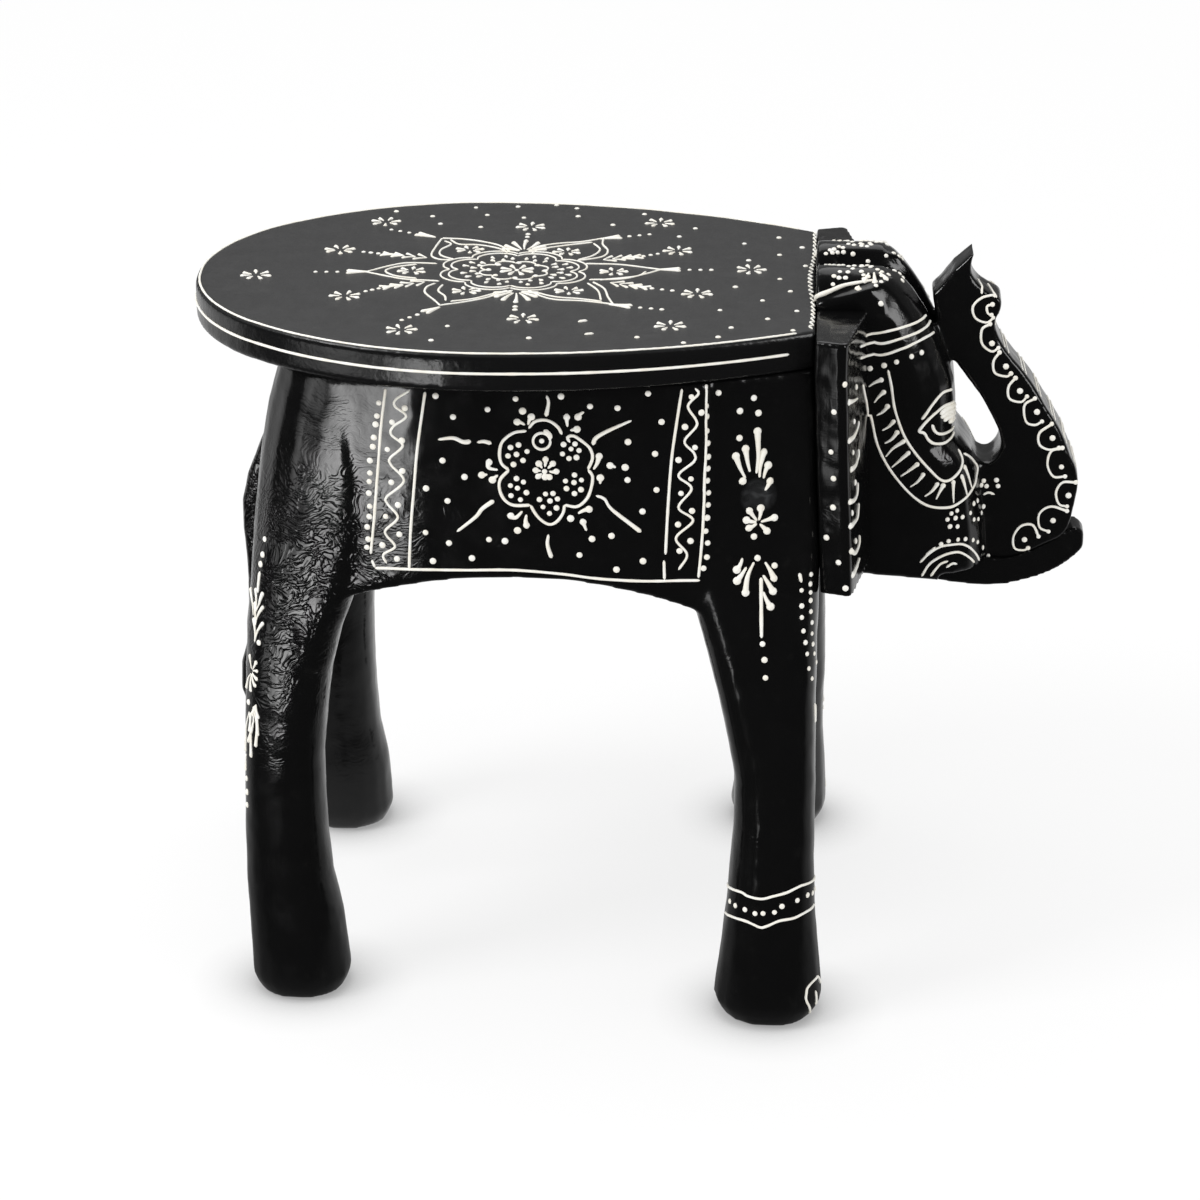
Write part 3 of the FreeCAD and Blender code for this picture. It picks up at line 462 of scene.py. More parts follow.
def set_far_foot(piece):
    """Bring the far front foot forwards, its rear side more than its front, as in the photograph."""
    for vertex in piece.data.vertices:
        forward, sideways, height = vertex.co / MM
        if sideways > 50 and forward > 20 and height < 130:
            step = FAR_FOOT_STEP + FAR_FOOT_STRETCH * (FAR_FOOT_FRONT - forward) / FAR_FOOT_LENGTH
            vertex.co.x += step * smooth_share(130 - height, 0, 70) * MM
    piece.data.update()


carved_body = joined_copy("carved_body", ["body_core", "side_right", "side_left"])
carved_skin(carved_body, 0.0019, 6)
gouge_marks(carved_body, 0.00030, 0.016, 1)
round_the_hips(carved_body)
set_far_foot(carved_body)
finish_piece(carved_body, black_lacquer, "black_lacquer", "body_core", "side_right", "side_left")

# %% [markdown]
# ## Head and trunk
# The trunk grows out of the face, and the carver has blended the two. A finer skin keeps the
# thin tip and the groove between the two halves of the forehead.

# %% Carved head
carved_head = joined_copy("carved_head", ["head_block", "trunk"])
carved_skin(carved_head, 0.0011, 16)
gouge_marks(carved_head, 0.00022, 0.012, 2)
finish_piece(carved_head, black_lacquer, "black_lacquer", "head_block", "trunk")

# %% [markdown]
# ## Lip, ears, tail and seat
# The smaller pieces are carved on their own and glued on, so each keeps its outline and a thin
# shadow line where it meets its neighbour.

# %% Small carved pieces
# Piece, its node, size of the skin's cells, smoothing steps, depth and width of the gouge marks
SMALL_CARVINGS = [
    ("lower_lip", "lower_jaw", 0.0009, 5, 0.00015, 0.010),
    ("carved_ear_right", "ear_right", 0.0010, 5, 0.00020, 0.012),
    ("carved_ear_left", "ear_left", 0.0010, 5, 0.00020, 0.012),
    ("carved_tail", "tail", 0.0007, 6, 0.00020, 0.008),
    ("seat_plank", "seat_board", 0.0013, 5, 0.00012, 0.020),
]
for seed, (piece_name, node, voxel, steps, depth, width) in enumerate(SMALL_CARVINGS, 3):
    piece = joined_copy(piece_name, [node])
    carved_skin(piece, voxel, steps)
    gouge_marks(piece, depth, width, seed)
    if node == "seat_board":
        finish_piece(piece, seat_lacquer, "seat_lacquer", node)
    else:
        finish_piece(piece, black_lacquer, "black_lacquer", node)

# %% [markdown]
# ## Raised cream paint
# The painter squeezes thick cream paint from a paper cone straight onto the lacquer, so every
# line is a small rounded bead and every dot a little button. A stroke is a smooth curve through
# a few places in millimetres, laid on the nearest point of the carved skin, a little uneven in
# width as a hand leaves it. What lies on the near side is painted on the far side too. A node
# group then turns all strokes into tubes and all dots into flat buttons.

# %% Paint helpers
HAND_UNEVENNESS = 0.16
HAND_WAVES_PER_MM = 0.21
BLUNT_END = 0.30


def skin_of(*names):
    """One search tree over finished pieces, to lay the paint on."""
    return search_tree(bpy.data.objects[name] for name in names)


def new_paint(skin, seed):
    return {"skin": skin, "strokes": [], "spots": [], "random": random.Random(seed)}


def settle(paint, point):
    """The place on the carved skin nearest to a point in millimetres, and the way out of it."""
    place, outward, _, _ = paint["skin"].find_nearest(Vector(point) * MM)
    return place, outward


def curve_through(points, step):
    """A smooth curve through some points, in steps of about the given length."""
    points = [Vector(point) for point in points]
    ends = [2 * points[0] - points[1]] + points + [2 * points[-1] - points[-2]]
    path = [points[0]]
    for before, start, end, after in zip(ends, ends[1:], ends[2:], ends[3:]):
        count = max(1, round((end - start).length / step))
        for number in range(1, count + 1):
            t = number / count
            bend = (2 * before - 5 * start + 4 * end - after) * t * t
            turn = (3 * start - before - 3 * end + after) * t * t * t
            path.append(0.5 * (2 * start + (end - before) * t + bend + turn))
    return path


def stroke(paint, points, width, end_width=None, swell=1.0, step=0.8):
    """A bead of paint along the points, from one width to the other, with rounded ends."""
    end_width = width if end_width is None else end_width
    path = curve_through(points, step)
    reach = [0.0]
    for start, end in zip(path, path[1:]):
        reach.append(reach[-1] + (end - start).length)
    hand = paint["random"].random() * 100
    bead = []
    for point, along in zip(path, reach):
        share = (along / reach[-1]) ** swell
        half = (width + (end_width - width) * share) / 2
        half *= 1 + HAND_UNEVENNESS * noise.noise(Vector((along * HAND_WAVES_PER_MM, hand, 0)))
        edge = min(along, reach[-1] - along) / half
        if edge < 1:
            half *= max(BLUNT_END, math.sqrt(1 - (1 - edge) ** 2))
        place, outward = settle(paint, point)
        # a thin line stands out of the skin, and a wide one sinks in, so it stays flat
        lift = half * (0.22 - 0.34 * half)
        bead.append((place + outward * (lift * MM), half * MM))
    paint["strokes"].append(bead)


def spot(paint, point, width):
    """A round dot, never quite the same size twice."""
    half = width / 2 * (0.9 + 0.2 * paint["random"].random())
    place, outward = settle(paint, point)
    paint["spots"].append((place, outward, half * MM))


def drop(paint, points, width):
    """A teardrop from its tail to its head: a thin trail from the cone, then a blob."""
    points = [Vector(point) for point in points]
    if len(points) == 2:
        tail, head = points
        bend = (head - tail).cross(Vector((0.6, 1.0, 0.4))) * paint["random"].uniform(-0.10, 0.10)
        points.insert(1, tail.lerp(head, 0.45) + bend)
    stroke(paint, points, width * 0.30, width * 0.96, 1.5, 0.5)
    way = (points[-1] - points[-2]).normalized()
    spot(paint, points[-1] - way * width * 0.46, width * 0.92)


def mirrored(points):
    return [(point[0], -point[1], point[2]) for point in points]


def both_sides(paint, lines, width, end_width=None):
    for points in lines:
        stroke(paint, points, width, end_width)
        stroke(paint, mirrored(points), width, end_width)


def drops_both_sides(paint, lines, width):
    for points in lines:
        drop(paint, points, width)
        drop(paint, mirrored(points), width)


def spots_both_sides(paint, points, width):
    for point in list(points) + mirrored(points):
        spot(paint, point, width)


print("paint helpers ready")

# %% [markdown]
# The node group takes bare lines and points. A line becomes a curve, its stored half width is
# the tube's radius, and a circle is swept along it. A point marked as a spot gets a flat ball
# turned to stand on the wood. Both are real mesh at the end.

# %% Paint node group
BEAD_SIDES = 8
SPOT_HEIGHT = 0.5
GROUP_INPUTS = {
    "Geometry": "NodeSocketGeometry", "Bead sides": "NodeSocketInt", "Spot height": "NodeSocketFloat",
    "Paint": "NodeSocketMaterial",
}


def stored(group, name, kind):
    """Read a value that the bare lines carry at each point."""
    return add_node(group, "GeometryNodeInputNamedAttribute", {"Name": name}, data_type=kind).outputs[0]


def make_bead_group():
    group = bpy.data.node_groups.new("paint_beads", "GeometryNodeTree")
    for name, kind in GROUP_INPUTS.items():
        group.interface.new_socket(name, in_out="INPUT", socket_type=kind)
    group.interface.new_socket("Geometry", in_out="OUTPUT", socket_type="NodeSocketGeometry")
    given = add_node(group, "NodeGroupInput").outputs
    half = stored(group, "half_width", "FLOAT")
    curve = add_node(group, "GeometryNodeMeshToCurve", {"Mesh": given["Geometry"]}).outputs[0]
    curve = add_node(group, "GeometryNodeSetCurveRadius", {"Curve": curve, "Radius": half}).outputs[0]
    ring_inputs = {"Resolution": given["Bead sides"], "Radius": 1.0}
    ring = add_node(group, "GeometryNodeCurvePrimitiveCircle", ring_inputs).outputs[0]
    tube_inputs = {"Curve": curve, "Profile Curve": ring, "Fill Caps": True}
    tube = add_node(group, "GeometryNodeCurveToMesh", tube_inputs)
    if "Scale" in tube.inputs:
        group.links.new(half, tube.inputs["Scale"])
    ball = add_node(group, "GeometryNodeMeshUVSphere", {"Segments": 12, "Rings": 8, "Radius": 1.0})
    outward = {"Vector": stored(group, "outward", "FLOAT_VECTOR")}
    turn = add_node(group, "FunctionNodeAlignRotationToVector", outward, axis="Z").outputs[0]
    low = math_node(group, "MULTIPLY", half, given["Spot height"])
    scale = add_node(group, "ShaderNodeCombineXYZ", {"X": half, "Y": half, "Z": low}).outputs[0]
    spot_inputs = {
        "Points": given["Geometry"], "Selection": stored(group, "is_spot", "BOOLEAN"),
        "Instance": ball.outputs[0], "Rotation": turn, "Scale": scale,
    }
    spots = add_node(group, "GeometryNodeInstanceOnPoints", spot_inputs)
    real = add_node(group, "GeometryNodeRealizeInstances", {"Geometry": spots.outputs[0]})
    joined = add_node(group, "GeometryNodeJoinGeometry")
    group.links.new(tube.outputs[0], joined.inputs[0])
    group.links.new(real.outputs[0], joined.inputs[0])
    smooth = add_node(group, "GeometryNodeSetShadeSmooth", {"Geometry": joined.outputs[0]})
    paint_inputs = {"Geometry": smooth.outputs[0], "Material": given["Paint"]}
    painted = add_node(group, "GeometryNodeSetMaterial", paint_inputs)
    output = add_node(group, "NodeGroupOutput")
    group.links.new(painted.outputs[0], output.inputs[0])
    return group


bead_group = make_bead_group()


def paint_piece(name, paint):
    """Build one piece from all the strokes and spots of a paint list."""
    places, edges, halves, outwards, spots = [], [], [], [], []
    for bead in paint["strokes"]:
        first = len(places)
        for place, half in bead:
            places.append(place)
            halves.append(half)
            outwards.extend((0.0, 0.0, 1.0))
            spots.append(False)
        edges.extend((index, index + 1) for index in range(first, len(places) - 1))
    for place, outward, half in paint["spots"]:
        places.append(place)
        halves.append(half)
        outwards.extend(outward)
        spots.append(True)
    mesh = bpy.data.meshes.new(name)
    mesh.from_pydata(places, edges, [])
    mesh.attributes.new("half_width", "FLOAT", "POINT").data.foreach_set("value", halves)
    mesh.attributes.new("outward", "FLOAT_VECTOR", "POINT").data.foreach_set("vector", outwards)
    mesh.attributes.new("is_spot", "BOOLEAN", "POINT").data.foreach_set("value", spots)
    piece = bpy.data.objects.new(name, mesh)
    bpy.context.scene.collection.objects.link(piece)
    beads = piece.modifiers.new("beads", "NODES")
    beads.node_group = bead_group
    settings = {"Bead sides": BEAD_SIDES, "Spot height": SPOT_HEIGHT, "Paint": cream_paint}
    for item in bead_group.interface.items_tree:
        if item.in_out == "INPUT" and item.name in settings:
            beads[item.identifier] = settings[item.name]
    plain_mesh(piece)
    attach(piece, "root")
    print(name, len(paint["strokes"]), "strokes,", len(paint["spots"]), "dots")


print("paint node group:", len(bead_group.nodes), "nodes")

# %% [markdown]
# ## Paint on the seat
# A cusped rosette sits in the middle, with six pointed petals round it. Sprigs and little
# flowers stand between and beyond the petals, and dots are strewn up to the rim.

# %% Seat paint
SEAT_TOP = 300.0
# In the photograph's pixels
SEAT_PETALS = [
    [(451.5, 260), (439, 259.5), (431.5, 255.5), (435.5, 247.2), (442, 238.5)],
    [(442, 238.5), (463.2, 239.4), (483.6, 242.1), (500.1, 245.9), (510.4, 252.2)],
    [(454, 259.5), (441, 255.5), (441, 250), (451, 244.5), (444.5, 241)],
    [(450.4, 239.8), (459.5, 244.5), (480, 245.3), (498.5, 248.5), (507.5, 252.7)],
    [(531.5, 249.5), (541, 246.2), (561, 243.5), (583.5, 241.8), (603.5, 238.5)],
    [(603.5, 238.5), (602.8, 244.4), (607.8, 250.8), (602, 257), (576, 261)],
    [(531.6, 253.7), (541, 249.5), (564.9, 245.7), (592.5, 242.5)],
    [(593.5, 243.5), (600, 249.5), (593.5, 255.5), (578, 260)],
    [(585.3, 263.8), (620.5, 265), (642.5, 267.5), (661, 269.9)],
    [(589, 280), (620.5, 279.5), (642.5, 275), (661, 269.9)],
    [(600, 280.5), (635.2, 276.7), (646.3, 271.8)],
    [(437.2, 263.8), (407.7, 263.3), (389.3, 266.2), (366, 272)],
    [(439.3, 281.4), (407.5, 279.5), (389.2, 276.8), (366, 272)],
    [(417, 264.7), (394.5, 267.5), (385.5, 271.2), (394.9, 275.8), (416.9, 278.6)],
    [(435.5, 283.5), (427, 287), (425, 292.5), (433.6, 299.8), (440, 305.5)],
    [(440, 305.5), (463.2, 302.3), (485.5, 298), (500, 293.5), (513.1, 290.6)],
    [(443, 284.7), (438.3, 290.7), (444.7, 296.1), (445.7, 300.8)],
    [(450.2, 301.7), (472.5, 299), (491, 294.7), (507.7, 290.6)],
    [(528, 290.5), (541, 296.2), (555.6, 299.8), (583.5, 301.3), (613, 304.5)],
    [(613, 304.5), (608, 297), (604.1, 288.8), (592.7, 282.3)],
    [(535.5, 292.5), (555.5, 297), (579.5, 299), (602, 301.7)],
    [(601, 300), (597.8, 290.7), (587.2, 283.2)],
]
SEAT_DOTS = [
    (396.5, 211.5), (432.7, 216.6), (440.5, 224), (476.1, 207.8), (487.3, 215.2), (480.8, 227.2),
    (518.2, 206.8), (524, 218), (556.7, 205.2), (577, 208.7), (578.2, 216.6), (613, 225),
    (644.5, 214.5), (447.4, 326.3), (431, 340.5), (528.8, 338.3), (637, 337.5), (695.4, 228.6),
    (679.3, 236.9), (744.4, 243.8), (779, 238), (802.2, 247.8), (779.7, 255.1), (748.7, 260.8),
    (805.7, 266.2), (780, 279.2), (735.5, 287.2), (790.5, 291.5), (762.6, 300.7), (720, 310.5),
    (796.9, 311.3), (767.7, 319.1), (731.2, 327.8), (793, 330.5), (718.2, 337.3), (637, 337.5),
    (683.5, 343),
]
SEAT_DASHES = [
    [(578, 322), (587.3, 320.7)], [(584.4, 334.6), (593.6, 333.7)],
]
SEAT_FLOWERS = [
    (386, 222), (256, 275), (401, 330), (660, 223), (670, 326), (751, 270), (340, 250), (345, 296),
    (678, 251), (697, 294), (531, 227), (523, 319),
]
# Chosen places on the seat, in millimetres forwards and to the left
SEAT_INNER_FLOWERS = [
    (-77.7, 32.0), (-100.0, 1.0), (-74.4, -25.0), (-35.2, 31.5), (-13.4, 4.4), (-30.9, -22.5),
]
SEAT_SPRIGS = [
    [(-95.3, 19.6), (-115.4, 24.1), (-125.4, 26.8)],
    [(-92.9, -13.8), (-110.3, -23.0), (-118.0, -29.0)],
    [(-18.9, 21.1), (-3.1, 26.2), (6.0, 32.0)],
    [(-14.1, -10.7), (1.9, -16.6), (15.0, -20.5)],
]
SEAT_TIPS = [
    [(-119.5, -1.5), (-138.8, -2.6)], [(6.8, 8.4), (22.3, 9.3)], [(-95.6, 49.9), (-106.0, 55.0)],
    [(-84.1, -48.2), (-91.0, -57.0)], [(-20.6, 51.2), (-8.0, 56.0)], [(-11.7, -40.2), (2.5, -43.5)],
]


def read_on_seat(points):
    return seen_on_level(points, 2, SEAT_TOP)


def on_seat(place):
    return Vector((*place, SEAT_TOP))


# The rosette is oval, and its rings lie a little further back than the marks inside them
RING_MIDDLE = on_seat((-56.2, 3.9))
RING_HALF_LENGTH = 32.6
RING_HALF_WIDTH = 28.0
ROSETTE_MIDDLE = on_seat((-55.0, 4.2))
LOBES = 8
LOBE_TURN = 2 * math.pi / LOBES
FLOWER_PETALS = 7


def way_at(angle, squash=1.0):
    """A way along the seat, with its sideways part made shorter where the shape is oval."""
    return Vector((math.cos(angle), math.sin(angle) * squash, 0))


def flower(paint, middle, long, wide):
    """Teardrop petals round a middle, longer along the stool than across."""
    lean = paint["random"].random()
    for number in range(FLOWER_PETALS):
        angle = 2 * math.pi * (number + lean) / FLOWER_PETALS
        swing = paint["random"].uniform(-0.10, 0.10)
        way = way_at(angle + swing, wide / long) * long
        drop(paint, [middle + way * 0.32, middle + way], 2.2)


def rosette_ring(paint, size, cusp, width):
    """A ring of eight rounded lobes with cusps between them."""
    for lobe in range(LOBES):
        arc = []
        for number in range(9):
            angle = LOBE_TURN * (lobe + number / 8)
            reach = size * (1 - cusp * (1 - abs(math.sin(4 * angle)) ** 0.7))
            way = way_at(angle, RING_HALF_WIDTH / RING_HALF_LENGTH)
            arc.append(RING_MIDDLE + way * RING_HALF_LENGTH * reach)
        stroke(paint, arc, width)


def rosette_marks(paint):
    """Teardrops in and round the rings, one petal and one dot for each lobe, and a middle dot."""
    for lobe in range(LOBES):
        angle = LOBE_TURN * (lobe + 0.5)
        for reach, swing in ((19.0, -0.24), (19.0, 0.24), (17.4, 0.0), (23.2, -0.13), (23.2, 0.13)):
            way = way_at(angle + swing, 0.84)
            drop(paint, [ROSETTE_MIDDLE + way * (reach - 1.6), ROSETTE_MIDDLE + way * (reach + 1.6)], 2.1)
        way = way_at(angle, 0.9)
        drop(paint, [ROSETTE_MIDDLE + way * 2.2, ROSETTE_MIDDLE + way * 7.8], 2.5)
        spot(paint, ROSETTE_MIDDLE + way_at(angle + 0.39, 10.6 / 12.2) * 12.2, 2.4)
    spot(paint, ROSETTE_MIDDLE, 2.2)


def sprig(paint, root, tip, pairs):
    """A feather of short strokes that lean along a stem."""
    along = tip - root
    across = Vector((-along.y, along.x, 0)).normalized()
    ahead = along.normalized()
    for number in range(pairs):
        start = root + along * (number / pairs)
        reach = 5.2 - 2.2 * number / pairs
        for side in (-1, 1):
            drop(paint, [start, start + ahead * 5.4 + across * side * reach * 0.70], 1.7)
    stroke(paint, [root + along * 0.5, tip], 1.2, 1.6)


def fan(paint, root, way, reach, spread, petals, width):
    """Teardrops that open from one root, the longest in the middle."""
    start = math.atan2(way.y, way.x)
    for number in range(petals):
        turn = number / (petals - 1) * 2 - 1
        angle = start + turn * spread
        length = reach * (1 - 0.35 * abs(turn))
        head = root + way_at(angle) * length
        drop(paint, [root + (head - root) * 0.2, head], width)


def dotted_way(paint, start, end, count, width):
    for number in range(count):
        spot(paint, start.lerp(end, (number + 0.5) / count), width)


def petal_tip(paint, root, tip):
    """A fork of two strokes where two petals meet, and three dots beyond it."""
    way = (tip - root).normalized()
    side = Vector((-way.y, way.x, 0))
    for swing in (-1.1, 1.1):
        fork = [root - way * 1.5, root + way * 4 + side * swing * 0.6, root + way * 8.5 + side * swing * 1.6]
        stroke(paint, fork, 0.9, 2.2)
    dotted_way(paint, root + way * 10, root + way * 24, 3, 2.0)


seat_paint = new_paint(skin_of("seat_plank"), 11)
for points in SEAT_PETALS:
    stroke(seat_paint, read_on_seat(points), 0.95)
for size, cusp in ((1.0, 0.15), (0.89, 0.17), (0.47, 0.22)):
    rosette_ring(seat_paint, size, cusp, 0.85)
rosette_marks(seat_paint)
for place in SEAT_INNER_FLOWERS:
    flower(seat_paint, on_seat(place), 6.5, 5.0)
for middle in read_on_seat(SEAT_FLOWERS):
    flower(seat_paint, middle, 6.9, 6.2)
for root, tip, away in SEAT_SPRIGS:
    sprig(seat_paint, on_seat(root), on_seat(tip), 4)
    dotted_way(seat_paint, on_seat(tip), on_seat(away), 3, 2.0)
for root, way in (((-54.0, 31.0), Vector((0.0, 1.0, 0))), ((-53.0, -24.0), Vector((0.05, -1.0, 0)))):
    fan(seat_paint, on_seat(root), way, 16.0, 1.25, 7, 2.6)
    start = on_seat(root) + way * 19
    dotted_way(seat_paint, start, start + way * 8, 2, 2.4)
for root, tip in SEAT_TIPS:
    petal_tip(seat_paint, on_seat(root), on_seat(tip))
for place in read_on_seat(SEAT_DOTS):
    spot(seat_paint, place, 2.3)
for points in SEAT_DASHES:
    stroke(seat_paint, read_on_seat(points), 1.6)

# %% [markdown]
# Two lines run round the seat, one on the top just inside the edge and one half way down the
# side, and a wavy one marks where the seat meets the neck. The rim is found by looking from far
# outside towards the middle of the seat.

# %% Seat rim paint
RIM_LOOK = Vector((-40.0, 0.0, 292.0))
RIM_FAR = 400
RIM_PLACES = 150
# Chosen places of the wavy neck line, in millimetres forwards and to the left
NECK_LINE = [(72.8, 74), (73, 50), (72.6, 28), (71.2, 8), (71.2, -10), (72.4, -32), (72.6, -50), (71.6, -66)]
NECK_WAVE = 0.85


def rim_line(inset, height, start_angle, end_angle):
    """Places along the seat's rim, a given distance inside it."""
    line = []
    for number in range(RIM_PLACES):
        angle = math.radians(start_angle + (end_angle - start_angle) * number / (RIM_PLACES - 1))
        way = way_at(angle)
        place, _, _, _ = seat_paint["skin"].ray_cast((RIM_LOOK + way * RIM_FAR) * MM, -way)
        rim = place / MM - way * inset
        line.append((rim.x, rim.y, height))
    return line


stroke(seat_paint, rim_line(1.6, SEAT_TOP, 34, 326), 1.0)
stroke(seat_paint, rim_line(0.0, 291.6, 36, 324), 1.2)
neck = curve_through([on_seat(place) for place in NECK_LINE], 2.6)
for number, point in enumerate(neck):
    point.x += NECK_WAVE if number % 2 else -NECK_WAVE
stroke(seat_paint, neck, 0.85)
paint_piece("paint_seat", seat_paint)

# %% [markdown]
# ## Paint on the flanks
# Each flank carries a saddle cloth: two upright borders with a wave and dots between them, and
# a flower in a lobed frame in the middle, with rays and teardrops round it.

# %% Flank paint
FLANK_FACE = -90.5
# In the photograph's pixels
FLANK_BORDERS = [
    [(384.5, 389.5), (380, 427), (376.5, 474.5), (373, 521.5), (369.5, 556)],
    [(370.5, 561.5), (374, 569)],
    [(425, 392), (420, 427.5), (416.5, 455.5), (414, 486), (410.5, 531), (409, 569)],
    [(682, 389), (676, 427.5), (671.5, 460.5), (668, 507.5), (665.5, 554.5)],
    [(664, 560.5), (664.5, 579.5)], [(713, 387), (709, 439), (705, 493), (702, 540.5), (698.5, 578)],
    [
        (374, 569.5), (409.5, 569.5), (459, 570), (511, 570), (560.5, 574), (596, 578.5), (643.5, 581),
        (700, 580.5),
    ],
]
FLANK_WAVES = [
    [
        (409.5, 390.5), (395.5, 400), (394.5, 407), (406, 416.5), (393, 427), (390.5, 435.5),
        (402.5, 446), (389.5, 459), (390.5, 466), (403.5, 481.5), (386, 498), (387, 505), (397.5, 518),
        (385, 531), (386, 537), (394.5, 547.5), (382.5, 556), (386, 564.5),
    ],
    [
        (695, 388.5), (698.5, 394), (688, 406), (696, 420), (696, 427), (684.5, 441.5), (694, 453),
        (694, 461.5), (678.5, 475.5), (691.5, 488.5), (678.5, 507.5), (693, 520.5), (676, 538),
        (687, 554.5), (678.5, 570),
    ],
]
FLANK_LOBES = [
    [(526.5, 431), (513.5, 433), (502.5, 441.5), (499.5, 453), (501.5, 463.5), (509, 470)],
    [(509, 470), (500.5, 479), (499.5, 488.5), (504, 499), (513.5, 505), (530.5, 505)],
    [(530.5, 505), (536, 514.5), (543, 521.5), (550, 524.5), (557, 521.5), (563, 513), (564.5, 505)],
    [(564.5, 505), (577, 506.5), (586.5, 499), (591, 488.5), (592.5, 476.5), (588, 469.5)],
    [
        (588, 469.5), (592.5, 458), (590, 448.5), (583, 442), (573.5, 436), (567.5, 437.5),
        (570, 442.5),
    ],
    [(562, 434.5), (558, 427.5), (551, 422), (543, 420), (534.5, 422), (528.5, 428.5)],
]
FLANK_RAYS = [
    [(438, 439.5), (453, 438), (463.5, 442), (471, 441.5)],
    [(477, 442.5), (484, 441.5), (491.5, 443.5)],
    [(457, 531.5), (475.5, 517), (482.5, 508.5), (494, 500.5)],
    [(631.5, 420.5), (610, 430), (596, 438), (593, 445)],
    [(596, 495.5), (604.5, 499), (612.5, 510), (641, 532)],
    [(546.5, 395.5), (548.5, 402.5), (546, 416.5)], [(548.5, 534.5), (547.5, 545), (551.5, 558)],
]
FLANK_TEARS = [
    [(525, 425), (513.5, 421.5)], [(523, 413), (521, 408)], [(528, 425), (533, 414)],
    [(567.5, 427), (566.5, 414)], [(584, 412), (576, 420)], [(570, 430.5), (580.5, 429)],
    [(593.5, 469.5), (600, 453)], [(616, 467.5), (606.5, 465)], [(600, 484), (600, 474.5)],
    [(626.5, 467.5), (622, 465.5)], [(498, 470), (488.5, 467.5), (489.5, 459)],
    [(487.5, 474.5), (478, 475)], [(498, 475), (490, 482.5)],
    [(522.5, 511), (515.5, 517.5), (507.5, 514.5)], [(520, 532), (514.5, 528.5)],
    [(526.5, 514.5), (527, 528.5)], [(572.5, 515.5), (569, 521.5)], [(586.5, 531), (582, 519)],
    [(578, 513.5), (592.5, 508.5)],
]
FLANK_PETAL_ENDS = [
    (545.5, 456.5), (555, 461.5), (559.5, 471), (551.5, 479.5), (544.5, 480), (536, 478.5),
    (532.5, 470), (536.5, 461.5),
]
FLANK_DOTS = [
    (435.5, 396), (453, 417), (487.5, 409.5), (515.5, 399), (561, 396.5), (590, 406.5), (617.5, 408),
    (648, 393.5), (661.5, 422), (655, 454), (628, 442), (627.5, 480), (656.5, 490), (642.5, 511.5),
    (611.5, 536), (592, 539), (579.5, 555), (616.5, 569.5), (643, 561), (505, 541), (489, 539.5),
    (449, 543), (472, 558), (433, 561), (425.5, 532.5), (447.5, 501), (426, 488.5), (464.5, 477),
    (442.5, 460.5),
]
FLANK_BORDER_DOTS = [
    (377.5, 404.5), (375.5, 417.5), (374, 426), (372.5, 439.5), (371.5, 448.5), (368.5, 462.5),
    (368.5, 475), (368, 483.5), (367.5, 495), (368.5, 508), (368, 518.5), (366, 529), (367, 541),
    (365.5, 549.5), (719.9, 386.8), (720, 397), (718, 408), (716.5, 418.5), (714, 432.5), (714, 445),
    (713.5, 458.5), (712.5, 470.5), (711, 482), (711, 494), (710, 506), (708, 518.5), (706, 531.5),
    (708, 543.5), (707, 557.5), (703.5, 568.5), (404.5, 408.5), (391.5, 423), (401.5, 441),
    (386.5, 450.5), (402, 471.5), (390.5, 483.5), (397.5, 505.5), (385, 517.5), (399, 535),
    (381.5, 546.5), (396.5, 559.5), (691.5, 397), (702, 413), (685, 427), (695, 447.5), (678.5, 460),
    (691, 479), (681, 493.5), (692, 511), (678, 524.5), (690.5, 541), (679.5, 551),
]
FLANK_CLUSTER_DOTS = [
    (510.5, 447.5), (518.5, 445), (527, 451.5), (508, 456), (516.5, 454.5), (523, 460.5),
    (513.5, 464.5), (563.5, 444.5), (571, 449), (575, 444), (579, 450.5), (562.5, 454), (569, 458.5),
    (576.5, 457.5), (516.5, 478.5), (510.5, 485.5), (523.5, 482), (517.5, 488), (526.5, 492.5),
    (511, 495.5), (520.5, 499.5), (574.5, 475), (565.5, 481), (581.5, 480), (574, 482.5), (581, 489.5),
    (566.5, 488.5), (574.5, 493.5), (545.5, 494), (553, 493.5), (539.5, 499.5), (550, 501),
    (557.5, 499), (543, 507), (556.5, 508), (549.5, 513.5),
]


def read_on_flank(points):
    return seen_on_level(points, 1, FLANK_FACE)


def lines_on_flank(lines):
    return [read_on_flank(points) for points in lines]


def on_flank(forward, height):
    return Vector((forward, FLANK_FACE, height))


FLOWER_HEART = on_flank(-36.8, 244.0)
BUD_MIDDLE = on_flank(-37.9, 257.3)
BUD_HALF = 3.6
BUD_WAYS = [Vector((math.cos(number / 2), 0, math.sin(number / 2))) for number in range(14)]
BUD_RING = [BUD_MIDDLE + way * BUD_HALF for way in BUD_WAYS]
BUD_HEART = on_flank(-37.9, 257.4)
BUD_STROKE = [on_flank(-37.0, 262.2), on_flank(-34.6, 260.2), on_flank(-34.2, 258.2)]

